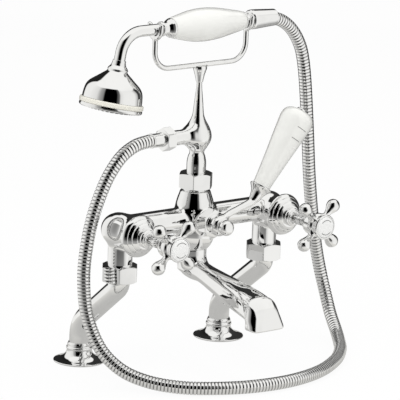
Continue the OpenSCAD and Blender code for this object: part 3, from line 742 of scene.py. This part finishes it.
class MixerColours(bpy.types.PropertyGroup):
    """Colours of the finishes"""

    chrome: colour_setting("Chrome", "Polished metal", (0.89, 0.89, 0.89))
    glaze: colour_setting("Glaze", "Glazed ceramic of the grips", (0.84, 0.84, 0.81))
    disc: colour_setting("Index Glaze", "Glazed index discs", (0.88, 0.88, 0.87))
    ivory: colour_setting("Ivory", "Ring of the shower head", (0.82, 0.8, 0.72))
    brass: colour_setting("Brass", "Valve parts inside", (0.74, 0.55, 0.25))
    rubber: colour_setting("Rubber", "Washers", (0.03, 0.03, 0.03))
    print_ink: colour_setting("Print", "Fired line marks", (0.05, 0.05, 0.05))
    floor: colour_setting("Floor", "Pale floor", (0.93, 0.93, 0.92))


# Operators


class MIXER_OT_stage(bpy.types.Operator):
    """Camera, floor, lamps, pale surroundings and the studio tent"""

    bl_idname = "mixer.stage"
    bl_label = "Stage"

    def execute(self, context):
        scene = context.scene
        scene.view_settings.view_transform = "Standard"
        self.camera(scene)
        self.world(scene)
        self.floor(scene)
        self.lamps()
        self.tent()
        return {"FINISHED"}

    def camera(self, scene):
        turn, rise, roll = (math.radians(angle) for angle in (CAMERA_TURN, CAMERA_RISE, CAMERA_ROLL))
        back = Vector((math.sin(turn) * math.cos(rise), -math.cos(turn) * math.cos(rise), math.sin(rise)))
        right = Vector((math.cos(turn), math.sin(turn), 0))
        up = back.cross(right)
        data = bpy.data.cameras.new("view_camera")
        data.sensor_width = 36
        data.lens = CAMERA_LENS
        data.clip_end = 100
        x = right * math.cos(roll) + up * math.sin(roll)
        y = up * math.cos(roll) - right * math.sin(roll)
        eye = back * CAMERA_BACK + right * CAMERA_RIGHT + up * CAMERA_UP
        made = added("view_camera", data)
        made.matrix_world = Matrix.Translation(eye) @ Matrix((x, y, back)).transposed().to_4x4()
        scene.camera = made

    def world(self, scene):
        """White to the camera and in reflections, softer as a light."""
        world = bpy.data.worlds.new("studio")
        world.use_nodes = True
        tree = world.node_tree
        shown = tree.nodes["Background"]
        preset(shown, {"Color": (1, 1, 1, 1), "Strength": 1.0})
        light = new_node(tree, "ShaderNodeBackground", {"Color": (1, 1, 1, 1), "Strength": 0.62})
        mix = new_node(tree, "ShaderNodeMixShader")
        tree.links.new(seen_ray(tree), mix.inputs["Fac"])
        wire(tree, (light, 0, mix, 1), (shown, 0, mix, 2))
        tree.links.new(mix.outputs[0], tree.nodes["World Output"].inputs["Surface"])
        scene.world = world

    def floor(self, scene):
        half = scene.mixer_sizes.floor_width / 2
        mesh = bpy.data.meshes.new("floor")
        mesh.from_pydata(
            [(-half, -half, 0), (half, -half, 0), (half, half, 0), (-half, half, 0)], [], [(0, 1, 2, 3)])
        mesh.materials.append(bpy.data.materials["pale_floor"])
        added("floor", mesh)

    def lamps(self):
        aim = Vector((0, -0.06, 0.16))
        for name, spot, size, power in (
            ("key_lamp", (-1.7, -0.9, 2.0), 1.5, 22),
            ("top_lamp", (0.2, -0.2, 2.6), 1.6, 17),
            ("fill_lamp", (1.9, -1.0, 1.2), 1.4, 10),
        ):
            data = bpy.data.lights.new(name, "AREA")
            data.shape = "SQUARE"
            data.size = size
            data.energy = power
            made = added(name, data)
            made.location = spot
            made.rotation_mode = "QUATERNION"
            made.rotation_quaternion = (aim - Vector(spot)).to_track_quat("-Z", "Y")
            made.visible_glossy = False

    def tent(self):
        """Studio walls and roof that only reflections see, toned by their direction from the mixer."""
        middle, wide, above_floor = Vector((0, -0.064, 0.16)), 2.0, 0.156
        turns, rises = np.arange(-180, 180, 2.0), np.arange(-28, 90, 2.0)
        points, tones = [], []
        for rise in rises:
            climb = math.radians(rise)
            away = min(wide, above_floor / max(-math.sin(climb), 1e-3))
            for turn, tone in zip(turns, self.tones(turns, rise)):
                side = math.radians(turn + CAMERA_TURN)
                points.append(middle + away * Vector((
                    math.sin(side) * math.cos(climb), -math.cos(side) * math.cos(climb), math.sin(climb))))
                tones.append(tone)
        n = len(turns)
        faces = []
        for row in range(len(rises) - 1):
            for k in range(n):
                a, b = row * n + k, row * n + (k + 1) % n
                faces.append((a, b, b + n, a + n))
        faces.append(tuple(range(len(points) - n, len(points))))
        mesh = bpy.data.meshes.new("studio_tent")
        mesh.from_pydata([tuple(p) for p in points], [], faces)
        mesh.attributes.new("tone", "FLOAT", "POINT").data.foreach_set("value", tones)
        mesh.materials.append(bpy.data.materials["tent_cloth"])
        made = added("studio_tent", mesh)
        made.visible_camera = False
        made.visible_diffuse = False
        made.visible_shadow = False

    def tones(self, turn, rise):
        """Dark around the camera and at the back, pale to both sides, white above, floor tones low down."""
        wall = np.interp(turn, *zip(
            (-180, 0.03), (-139, 0.01), (-133, 0.95), (-95, 0.95), (-62, 0.8), (-48, 0.4), (-36, 0.25),
            (-31, 0), (16, 0), (21, 0.1), (27, 0.15), (31, 0.82), (45, 0.94), (95, 0.94), (112, 0.5),
            (118, 0.05), (180, 0.03)))
        roof = np.interp(turn, *zip(
            (-180, 55), (-140, 50), (-60, 48), (-20, 55), (28, 57), (45, 48), (90, 44), (105, 36),
            (150, 36), (180, 50)))
        ground = np.interp(turn, *zip(
            (-180, 0.75), (-145, 0.95), (-95, 0.95), (-75, 0.8), (-45, 0.45), (-20, 0.4), (20, 0.4),
            (40, 0.7), (55, 0.98), (95, 0.98), (120, 0.5), (180, 0.6)))
        tone = wall + (1 - wall) * np.clip((rise - roof) / 3 + 0.5, 0, 1)
        return tone + (ground - tone) * np.interp(-rise, *zip((4, 0), (14, 0.25), (20, 0.75), (28, 1)))


class MIXER_OT_finishes(bpy.types.Operator):
    """Procedural finishes of all pieces"""

    bl_idname = "mixer.finishes"
    bl_label = "Finishes"

    def execute(self, context):
        tint = context.scene.mixer_colours
        marks = handling_marks()
        surface("polished_chrome", tint.chrome, 0.96, (0.01, 0.035), marks, 45.0, metallic=1.0)
        # Hose: crowns in chrome at 1.07 of its colour, grooves in painted shade at 0.03 of it.
        ribbed_metal("ribbed_chrome", shaded(tint.chrome, 1.07), shaded(tint.chrome, 0.03), marks)
        surface("glazed_white", tint.glaze, 0.97, (0.12, 0.2), marks, 30.0, coat=0.7, bump=0.05)
        surface("glazed_disc", tint.disc, 0.97, (0.1, 0.18), marks, 60.0, coat=0.8, bump=0.04)
        surface("ivory_plastic", tint.ivory, 0.95, (0.22, 0.34), marks, 50.0)
        surface("turned_brass", tint.brass, 0.8, (0.2, 0.4), marks, 120.0, metallic=1.0)
        surface("black_rubber", tint.rubber, 1.6, (0.55, 0.75), marks, 150.0, bump=0.2)
        surface("fired_print", tint.print_ink, 1.5, (0.25, 0.4), marks, 200.0)
        ground = surface("pale_floor", tint.floor, 0.99, (0.7, 0.8), marks, 4.0, bump=0.01)
        # The near tone is the floor's painted shadow under the part, seen in reflections; far is its tone
        # further out.
        pale(ground, share=0.93, near=(0.52, 0.517, 0.5), far=(0.8, 0.79, 0.75))
        tent_cloth("tent_cloth", (1, 0.997, 0.975))
        return {"FINISHED"}


class MIXER_OT_hose(bpy.types.Operator):
    """Ribbed metal hose from the riser's outlet to the handset"""

    bl_idname = "mixer.hose"
    bl_label = "Hose"

    def execute(self, context):
        sizes = context.scene.mixer_sizes
        line = hose_line()
        made = grown("hose_tube", rib_tree(), {
            "Radius": sizes.hose_diameter / 2,
            "Depth": sizes.rib_depth,
            "Ribs": sizes.hose_ribs,
            "Rings": 8,
            "Sides": 24,
            "Finish": bpy.data.materials["ribbed_chrome"],
        }, line, [(i, i + 1) for i in range(len(line) - 1)])
        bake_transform(made)
        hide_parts("hose")
        cuff = rounded([
            (5.9, 44.6), (7.3, 44.6), (7.3, 45.8), (6.9, 46.4), (6.9, 57.2), (7.4, 57.8), (7.4, 59.2),
            (6.3, 59.2)], 0.3)
        ferrule = chrome("hose_sleeve", sleeve(cuff, 4.2), hoseward(), "mixer", "hose_ferrule")
        return {"FINISHED"}


class MIXER_OT_feet(bpy.types.Operator):
    """Foot flanges, bent legs and union nuts"""

    bl_idname = "mixer.feet"
    bl_label = "Feet and Legs"

    def execute(self, context):
        flare = flowing([
            (25.6, 1.7), (23.2, 2.5), (20.2, 3.5), (17.4, 4.9), (15.2, 6.7), (13.6, 8.8), (12.7, 11)], 6)
        outside = rounded([(25.4, 0), (26, 0.5), (26, 1.3), *pairs(flare), (12.5, 12.2, 0.2)], 0.35)
        outside += rounded([(12.5, 12.3), (13.1, 12.7), (13.4, 14), (13.1, 15.3), (12.5, 15.7)], 0.8)[1:]
        outside += rounded([(12.4, 15.9), (12.3, 17), (12.1, 18.4), (11.2, 20), (10.7, 20.1)], 0.6)
        tube_r, lean, low_bend, high_bend = 10.5, 51.5, 30, 12
        bends, outward = low_bend + high_bend, INLET_X - HOLE_X
        c, s = math.cos(math.radians(lean)), math.sin(math.radians(lean))
        run = math.hypot(REACH, outward)
        slant = (run - bends * (1 - c)) / s
        foot = UNION_Z - (bends * s + slant * c)
        lower = arc((low_bend, foot), low_bend, 180, 180 - lean, 18)
        knee = lower[-1] + slant * np.array((s, c))
        upper = arc(knee + high_bend * np.array((-c, s)), high_bend, -lean, 0, 14)
        tail = [(run, UNION_Z + 3), (run, UNION_Z + 6)]
        line = np.vstack([[(0, 0.5), (0, foot * 0.5)], lower, upper, tail])
        nut = hexagon(af=34, height=17, turn=52, bore=tube_r + 0.4)
        for side, label in SIDES:
            place = Matrix.Translation((side * HOLE_X, 0, 0))
            chrome(f"{label}_flange", sleeve(outside, tube_r + 0.05), place, "mixer", f"{label}_foot_flange")
            path = [(u * outward * side / run, -u * REACH / run, z) for u, z in line]
            chrome(f"{label}_leg_tube", sweep(path, tube_r), place, "mixer", f"{label}_leg")
            inlet = Matrix.Translation((side * INLET_X, -REACH, UNION_Z))
            chrome(f"{label}_union", nut, inlet, "mixer", f"{label}_union_nut")
        return {"FINISHED"}


class MIXER_OT_body(bpy.types.Operator):
    """Cast bar with its centre barrel, elbows and valve bosses"""

    bl_idname = "mixer.body"
    bl_label = "Body"

    def execute(self, context):
        barrel = line_of([
            (-30.5, 14.2), (-28.5, 15.9), (-23.5, 18.8), (-17.5, 20.2), (-12.5, 20.5), (-5, 20.5), (3, 20.5),
            (8, 20.2), (14, 19.3), (20, 17.8), (25, 16.1), (28.5, 15),
        ])
        bar_r, knuckle_x, knuckle_r = 12.5, 96.5, 16.2
        neck_r, boss_r, front_r, spigot_r = 12.3, 14.4, 12, 12.2

        def field(x, y, z):
            ax, upright = np.abs(x), np.hypot(x, y)
            bar = np.maximum(np.hypot(y, z) - bar_r, ax - INLET_X)
            knuckle = np.sqrt((ax - knuckle_x) ** 2 + y**2 + z**2) - knuckle_r
            neck = cut_by(np.hypot(ax - INLET_X, y) - neck_r, np.maximum(-45 - z, z), 0.6)
            boss = cut_by(np.hypot(ax - INLET_X, z + VALVE_DROP) - boss_r, np.maximum(-25.5 - y, y), 1.0)
            ends = merged(merged(knuckle, neck, 5), boss, 5)
            front = cut_by(np.hypot(x, z) - front_r, np.maximum(-22 - y, y), 0.8)
            centre = merged(spun(barrel, upright, z, 1.2), front, 4)
            spigot = np.maximum(upright - spigot_r, np.maximum(20 - z, z - 39.5))
            return np.minimum(merged(merged(bar, ends, 6), centre, 5), spigot)

        form = cast(field, (-113, -26, -46), (113, 21, 40), 1.1)
        chrome("body_casting", form, upward(), "mixer", "body")
        return {"FINISHED"}


class MIXER_OT_spout(bpy.types.Operator):
    """Hooded spout with its neck"""

    bl_idname = "mixer.spout"
    bl_label = "Spout"

    def execute(self, context):
        rows = np.array(SPOUT_ROWS, float)
        top, bottom, half, square = (line_of(rows[:, (0, k)]) for k in (1, 2, 3, 4))
        hood_low, nose_g, lean, side_bevel, top_bevel = -88.7, 123.5, 0.3, 4, 6
        neck_r, outlet_g, outlet_r = 13.4, 111.5, 6.5

        def tongue(x, z, top_at, bottom_at, half_at, n, taper):
            """Field of a tapering rounded section, and its half width at each height."""
            middle, high = (top_at + bottom_at) / 2, (top_at - bottom_at) / 2
            v = np.clip((z - middle) / high, -1.6, 1.6)
            wide = half_at * (1 - taper * v)
            size = ((np.abs(x) / wide) ** n + np.abs(v) ** n) ** (1 / n)
            return (size - 1) * np.minimum(wide, high) * 0.9, wide

        def field(x, y, z):
            g = -y
            tops, bottoms, halves, n = (np.interp(g, *line[:2]) for line in (top, bottom, half, square))
            arm = tongue(x, z, tops, bottoms, halves, n, 0.1 * (n - 2))[0]
            hood, wide = tongue(x, z, tops - 0.5, np.full_like(tops, hood_low), halves + 0.9, 6, 0.21)
            back = 102.5 + 7 * np.minimum(np.abs(x) / 22, 1) ** 2
            arm = cut_by(merged(arm, cut_by(hood, back - g, 2.5), 2), -13 - g, 3.2)
            face = (g - nose_g + lean * (z + 88)) / math.hypot(1, lean)
            for edge, width in ((np.abs(x) - wide, side_bevel), (z - tops, top_bevel)):
                arm = cut_by(arm, (edge + face + width) * math.sqrt(0.5), 3)
            arm = cut_by(arm, face, 2.4)
            neck = cut_by(np.hypot(x, y) - neck_r, np.maximum(-52 - z, z + 30.4), 0.8)
            outlet = np.maximum(np.hypot(x, g - outlet_g) - outlet_r, z + 81.5)
            return cut_by(merged(arm, neck, 5), -outlet, 1.2)

        form = cast(field, (-22, -126, -90), (22, 15, -29), 0.9)
        chrome("spout_hood", form, upward(), "mixer", "spout")
        return {"FINISHED"}


class MIXER_OT_valves(bpy.types.Operator):
    """Shrouds and glands in front of the two valve bosses"""

    bl_idname = "mixer.valves"
    bl_label = "Valves"

    def execute(self, context):
        dome = flowing([(21, 28.6), (20.7, 30), (19.8, 31.5), (18.5, 32.9)], 6)
        shroud = rounded([
            (14.6, 26.6), (19.2, 26.3), (20.7, 27.3, 0.8), *pairs(dome), (17.9, 33.2, 0.2), (17.8, 33.9, 0.2),
            (16.6, 35.2, 2), (15.2, 36.3, 0.5), (14.6, 36.5, 0.2), (14.5, 37.1, 0.2), (13, 38.5, 2),
            (11, 39.8, 1), (9.7, 40)], 0.3)
        gland = rounded([
            (6, 40.1), (9.3, 40.1), (9.3, 43.4), (8.6, 44.4), (7.5, 44.8, 0.3), (7.4, 45.8), (6.4, 46.2, 0.2),
            (6.4, 48), (4.4, 48)], 0.35)
        for side, label in SIDES:
            place = at_valve(side)
            chrome(f"{label}_valve_shroud", sleeve(shroud, 8.8), place, "mixer", f"{label}_shroud")
            chrome(f"{label}_valve_gland", sleeve(gland, 4.3), place, "mixer", f"{label}_gland")
        return {"FINISHED"}


class MIXER_OT_handles(bpy.types.Operator):
    """Cross handles with fluted shanks, index discs and bezels"""

    bl_idname = "mixer.handles"
    bl_label = "Cross Handles"

    def execute(self, context):
        hub = line_of([
            (48.6, 4.9), (56, 4.9), (61, 5.1), (64.5, 6), (67.5, 8.2), (71, 10.4), (76, 11.6), (81.5, 12),
            (83, 11.6), (84.6, 10.2), (86, 9.9), (88, 10.2), (89.6, 11.6), (91, 12),
        ])
        k = math.sqrt(0.5)
        cross_g, flutes_g, stem_r, ball_at, ball_r = 83, 55.2, 3.1, 25.8, 6.4

        def field(x, y, z):
            a, b = np.abs(k * (x + y)), np.abs(k * (y - x))
            out, off = np.maximum(a, b), np.hypot(np.minimum(a, b), z - cross_g)
            stem = cut_by(off - stem_r - 0.6 * np.clip((13 - out) / 5, 0, 1), out - 24, 1)
            ball = np.sqrt((out - ball_at) ** 2 + off**2) - ball_r
            arm = merged(stem, ball, 6)
            return merged(spun(hub, np.hypot(x, y), z, 0.8), arm, 2.5)

        form = cast(field, (-25, -25, 48), (25, 25, 91.2), 0.7)
        disc = rounded([(0, 88), (8, 88), (10.9, 90.5), (10.9, 93), *pairs(flowing(
            [(10.5, 93.8), (9.4, 94.5), (7, 95), (3.5, 95.35), (0, 95.45)], 5))], 0.3)
        rim = rounded([(11.2, 90.8), (12, 90.9), (12.5, 91.7), (12.5, 92.9), (11.9, 93.6), (11.2, 93.7)], 0.35)
        flutes = flute_tree()
        for side, label in SIDES:
            place, body = at_valve(side), f"{label}_cross"
            chrome(f"{label}_cross_handle", form, place, body, f"{label}_handle")
            shank = grown(f"{label}_shank_flutes", flutes, {
                "Count": context.scene.mixer_sizes.shank_flutes,
                "Circle": 0.0049,
                "Rod": 0.00075,
                "Length": 0.0125,
                "Finish": bpy.data.materials["polished_chrome"],
            })
            shank.data.transform(in_metres(place @ Matrix.Translation((0, 0, flutes_g))))
            fit(shank, body, "chrome")
            index = piece(f"{label}_index_disc", [turned(disc)], place, "glazed_disc")
            fit(index, body, "glazed_ceramic", f"{label}_index")
            chrome(f"{label}_index_bezel", sleeve(rim, 10.95), place, body, f"{label}_bezel")
            strokes = [bow(7.4, turn, half=48, height=94.9, thick=0.28, steps=20) for turn in (90, 270)]
            fit(piece(f"{label}_index_strokes", strokes, place, "fired_print"), body, None)
        return {"FINISHED"}


class MIXER_OT_diverter(bpy.types.Operator):
    """Diverter bonnet, curved lever, ball cap and ceramic grip"""

    bl_idname = "mixer.diverter"
    bl_label = "Diverter"

    def execute(self, context):
        nut_g, cap_g, stem_bore = 22, 46, 5.2
        nut, faces = hexagon(af=25.5, height=11, turn=30, bore=stem_bore)
        cone = sleeve(rounded([(9.6, 32.4), (10.4, 32.4), (10, 33), (8.4, 34.2), (7, 34.2)], 0.3), stem_bore)
        bonnet = piece("diverter_nut", [(nut + (0, 0, nut_g), faces), cone], forward(), "polished_chrome")
        fit(bonnet, "mixer", "chrome", "diverter_bonnet")
        path = flowing([(x, y, LEVER_G) for x, y in LEVER_PATH], 6)
        radii = 3.1 + 2.2 * np.linspace(0, 1, len(path)) ** 2
        cup = line_of([
            (-9, 4.4), (-7, 5.3), (-4.5, 6), (-2, 6.9), (0.2, 8), (2.4, 9.5), (4.2, 10.9), (5.3, 11.4),
            (6.2, 11.3)])
        hub = line_of([(34.5, 8.4), (36, 9.5), (38, 10.4), (40, 10.6), (42, 10.2), (44, 9.1), (45.6, 7.4)])
        s, c = math.sin(GRIP_TILT), math.cos(GRIP_TILT)

        def field(x, y, z):
            px, py = x - GRIP_AT[0], y - GRIP_AT[1]
            along, off = px * s + py * c, np.hypot(px * c - py * s, z - LEVER_G)
            arm = along_rod(x, y, z, path, radii)
            trumpet = spun(cup, off, along, 1.0)
            boss = spun(hub, np.hypot(x, y), z, 1.4)
            return merged(merged(arm, trumpet, 2.5), boss, 4)

        form = cast(field, (-10, -10, 28), (64, 48, 52), 0.7)
        chrome("lever_arm", form, forward(), "diverter", "diverter_lever")
        ball = flowing([
            (6.8, 0.7), (7.6, 2.4), (7.9, 4.6), (7.5, 6.8), (6.5, 8.5), (4.8, 9.6), (2.6, 10.1), (0, 10.3)], 5)
        knob = rounded([(0, 0), (6, 0), *pairs(ball)], 0.3)
        chrome("lever_knob", turned(knob), forward(0, cap_g), "diverter", "lever_cap")
        grip = flowing([
            (9.1, 5), (9.2, 9), (9.8, 16), (10.6, 24), (12.5, 41), (14.6, 58), (16.2, 72), (17, 80),
            (16.8, 84), (15.8, 87.2), (13.9, 89.6), (11.2, 91.3), (8.2, 92.2), (5.4, 92.5), (0, 92.6)], 6)
        fit(piece("lever_grip_ceramic", [turned([(0, 4.2), *pairs(grip)])], at_grip(), "glazed_white"),
            "diverter", "glazed_ceramic", "lever_grip")
        screw = rounded([(0, 92), (5, 92), (5, 93.4), *pairs(flowing(
            [(4.7, 94.2), (3.7, 95), (2, 95.45), (0, 95.6)], 4))], 0.2)
        chrome("lever_tip_screw", turned(screw, 48), at_grip(), "diverter", "lever_end_screw")
        strokes = [
            bow(radius, -95, half=21, height=place, thick=0.25, steps=16)
            for place, radius in ((62, 15.1), (74, 16.45))]
        fit(piece("lever_grip_lines", strokes, at_grip(), "fired_print"), "diverter", None)
        return {"FINISHED"}


class MIXER_OT_column(bpy.types.Operator):
    """Column nut, riser with its hose outlet, and cradle"""

    bl_idname = "mixer.column"
    bl_label = "Column and Cradle"

    def execute(self, context):
        rail_bend, wire_r, fork_r, saddle_r = 18, 2.5, 2.4, 8.3
        nut = hexagon(af=31, height=16, turn=44, bore=9.8)
        chrome("column_hexagon", nut, upward(30.5), "mixer", "column_nut")
        stem = line_of([
            (42, 9.7), (50, 9.7), (58.5, 9.5), (63.5, 8.4), (66.6, 7.3), (68.5, 7.6), (72, 9.8), (76.5, 12.3),
            (80, 13.7), (83, 14.1), (86, 13.8), (90.5, 12.5), (95, 10.3), (99.5, 7.7), (104, 6), (110, 5.1),
            (116, 4.6), (126, 3.5), (135, 2.7), (138, 2.7),
        ])
        arm = line_of([(0, 10.8), (8, 10.6), (12, 10), (15.5, 8.5), (19, 7.6), (25, 7.5), (33.6, 7.6)])

        def riser(x, y, z):
            pipe = spun(arm, np.hypot(y, z - OUTLET_H), -x, 0.8)
            return merged(spun(stem, np.hypot(x, y), z, 0.6), pipe, 4)

        form = cast(riser, (-34, -15, 42), (15, 15, 138.2), 0.8)
        chrome("riser_column", form, upward(), "mixer", "riser")
        nut = hexagon(af=21, height=11, turn=0, bore=6.2)
        chrome("hose_hexagon", nut, hoseward(33.5), "mixer", "hose_nut")
        tulip = line_of([(137.4, 3.3), (140.5, 3.9), (144.5, 4.8), (148.5, 6), (152, 7), (154.5, 6.6)])
        bend = arc((SADDLE_X - rail_bend, RAIL_H + rail_bend), rail_bend, -90, 0, 12)
        line = np.vstack([[(0, RAIL_H)], bend, [(SADDLE_X, AXIS_H - saddle_r)]])
        path = np.column_stack([line[:, 0], np.zeros(len(line)), line[:, 1]])

        def cradle(x, y, z):
            ax = np.abs(x)
            rail = along_rod(ax, y, z, path, np.full(len(path), wire_r))
            lift = z - AXIS_H
            low = np.hypot(np.hypot(y, lift) - saddle_r, ax - SADDLE_X)
            flare = saddle_r + 0.06 * np.maximum(lift, 0) ** 1.6
            high = np.sqrt((np.abs(y) - flare) ** 2 + (ax - SADDLE_X) ** 2 + np.maximum(lift - 4, 0) ** 2)
            fork = np.where(lift < 0, low, high) - fork_r
            return merged(merged(rail, fork, 1.5), spun(tulip, np.hypot(x, y), z, 1), 1.5)

        form = cast(cradle, (-61, -13, 137), (61, 13, 202), 0.8)
        chrome("cradle_fork", form, upward(), "mixer", "cradle")
        return {"FINISHED"}


class MIXER_OT_handset(bpy.types.Operator):
    """Bell head with its ring and rose, bent neck, ceramic grip and ferrules"""

    bl_idname = "mixer.handset"
    bl_label = "Handset"

    def execute(self, context):
        self.head()
        self.rose(context.scene.mixer_sizes.nozzle_rings)
        start = np.array((-ELBOW_X - ELBOW_R * math.cos(HEAD_TILT), -ELBOW_R * (1 - math.sin(HEAD_TILT))))
        drop = np.array((math.sin(HEAD_TILT), math.cos(HEAD_TILT)))
        bend = arc((-ELBOW_X, -ELBOW_R), ELBOW_R, 180 - math.degrees(HEAD_TILT), 90, 24)
        line = np.vstack([start - 13 * drop, start - 6 * drop, bend, [(-40, 0), (20, 0), (74, 0)]])
        path = [(x, 0, z) for x, z in line]
        chrome("handset_pipe", sweep(path, NECK_R), upward(AXIS_H), "handset", "handset_neck")
        front = rounded([
            (5.6, -52), (6.6, -52), (7.3, -51.2), (7.3, -49.4), (6.4, -48.6), (6.3, -44.6), (7.4, -43.2),
            (8.6, -41.8, 1), (9.7, -39.6, 1), (9.7, -38), (8.6, -38)], 0.4)
        chrome("front_ferrule", sleeve(front, NECK_R), across(), "handset", "handset_front_ferrule")
        grip = flowing([
            (8.6, -37.9), (9.9, -37.8), (10.6, -36.4), (11.4, -33), (12.5, -28), (14.7, -18), (15.9, -10),
            (16.4, -3), (16.5, 3), (16.2, 10), (15.3, 19), (13.8, 28), (11.9, 38), (10.4, 46), (9.3, 50.6),
            (8.4, 52)], 6)
        fit(piece("handset_grip_ceramic", [sleeve(pairs(grip), NECK_R + 0.1)], across(), "glazed_white"),
            "handset", "glazed_ceramic", "handset_grip")
        rear = rounded([(5.6, 52), (8.7, 52), (8.7, 52.9), (7.6, 53.9), (6.2, 54.2), (5.6, 54.2)], 0.3)
        chrome("rear_ferrule", sleeve(rear, NECK_R), across(), "handset", "handset_rear_ferrule")
        tail = rounded([
            (5.6, 61), (8.6, 61), (9.7, 62.2), (9.9, 64, 1), (9.7, 70, 2), (9.2, 78, 2), (8.6, 88, 2),
            (8.4, 92.6), (6.7, 92.6)], 0.5)
        chrome("hose_tail_nut", sleeve(tail, 4), across(), "handset", "handset_tail")
        return {"FINISHED"}

    def head(self):
        """Bell, ring, rim and rose plate, turned about the head's tilted axis."""
        place, sides, inside = at_head(), 128, 24.2
        bell = flowing([
            (29.5, 2.7), (29.3, 6), (28.9, 9.5), (28.3, 12.6), (27.3, 15.4), (25.6, 18), (23.4, 20.2),
            (20.4, 22.6), (17.4, 25), (14, 27.8), (10.6, 30.6)], 6)
        collar = rounded([
            (10, 31.2), (9.8, 31.8), (9.8, 32.4, 0.4), (10.2, 33.3, 0.6), (9.2, 35, 1), (7.5, 37, 2),
            (6.6, 40, 2), (6.4, 42.4), (5.6, 42.4)], 0.3)
        shell = sleeve([(27, 2.7), *pairs(bell), *collar], NECK_R, sides)
        chrome("head_bell", shell, place, "handset", "handset_head")
        ring = rounded([(25, -2.2), (31, -2.2), (31.6, -1.4), (31.6, 1.6), (30.8, 2.5), (25, 2.6)], 0.6)
        fit(piece("head_ring", [sleeve(ring, inside, sides)], place, "ivory_plastic"),
            "handset", "ivory", "handset_ring")
        rim = rounded([
            (26.6, -5.6), (27.2, -6.4), (29.2, -6.4), (30.8, -5.6), (31.2, -4.2), (30.8, -2.3),
            (25, -2.3)], 0.5)
        chrome("head_rim", sleeve(rim, inside, sides), place, "handset", "handset_rim")
        plate = rounded([(0, -8.3), (12, -8), (21, -7.2), (26.4, -6.1), (26.4, -4.6), (0, -4.6)], 0.4)
        chrome("shower_rose", turned(plate, sides), place, "handset", "handset_rose")

    def rose(self, rings):
        """Nozzles, bent to the dished face of the rose."""
        nozzles = grown("rose_nozzles", nozzle_tree(rings), {
            "Spacing": 0.0046,
            "Nozzle": 0.0011,
            "Height": 0.0012,
            "Finish": bpy.data.materials["black_rubber"],
        })
        mesh = nozzles.data
        lowest, rise, face_r = 0.0083, 0.0021, 0.0264
        for vertex in mesh.vertices:
            dish = lowest - rise * (vertex.co.xy.length / face_r) ** 2
            vertex.co = (vertex.co.x, vertex.co.y, -dish - vertex.co.z * 0.6)
        mesh.flip_normals()
        mesh.transform(in_metres(at_head()))
        fit(nozzles, "handset", "rubber")


class MIXER_OT_inside(bpy.types.Operator):
    """Finishes of the valve parts and washers that stay hidden inside"""

    bl_idname = "mixer.inside"
    bl_label = "Inner Parts"

    def execute(self, context):
        for name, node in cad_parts.items():
            if node.hide_render:
                continue
            finish = "turned_brass"
            if "washer" in name:
                finish = "black_rubber"
            elif "disc" in name:
                finish = "glazed_white"
            node.data.materials.clear()
            node.data.materials.append(bpy.data.materials[finish])
        return {"FINISHED"}


class MIXER_PT_pieces(bpy.types.Panel):
    """Sizes, colours and pieces of the mixer"""

    bl_idname = "MIXER_PT_pieces"
    bl_label = "Bath Shower Mixer"
    bl_space_type = "VIEW_3D"
    bl_region_type = "UI"
    bl_category = "Mixer"

    def draw(self, context):
        for group in (context.scene.mixer_sizes, context.scene.mixer_colours):
            for key in group.__annotations__:
                self.layout.prop(group, key)
        for operator in OPERATORS:
            self.layout.operator(operator.bl_idname)


OPERATORS = (
    MIXER_OT_finishes,
    MIXER_OT_stage,
    MIXER_OT_hose,
    MIXER_OT_feet,
    MIXER_OT_body,
    MIXER_OT_spout,
    MIXER_OT_valves,
    MIXER_OT_handles,
    MIXER_OT_diverter,
    MIXER_OT_column,
    MIXER_OT_handset,
    MIXER_OT_inside,
)
CLASSES = (MixerSizes, MixerColours, *OPERATORS, MIXER_PT_pieces)


def register():
    for cls in CLASSES:
        bpy.utils.register_class(cls)
    bpy.types.Scene.mixer_sizes = PointerProperty(type=MixerSizes)
    bpy.types.Scene.mixer_colours = PointerProperty(type=MixerColours)


def unregister():
    del bpy.types.Scene.mixer_colours
    del bpy.types.Scene.mixer_sizes
    for cls in reversed(CLASSES):
        bpy.utils.unregister_class(cls)


def main():
    register()
    for operator in OPERATORS:
        group, name = operator.bl_idname.split(".")
        getattr(getattr(bpy.ops, group), name)()


if __name__ == "__main__":
    main()
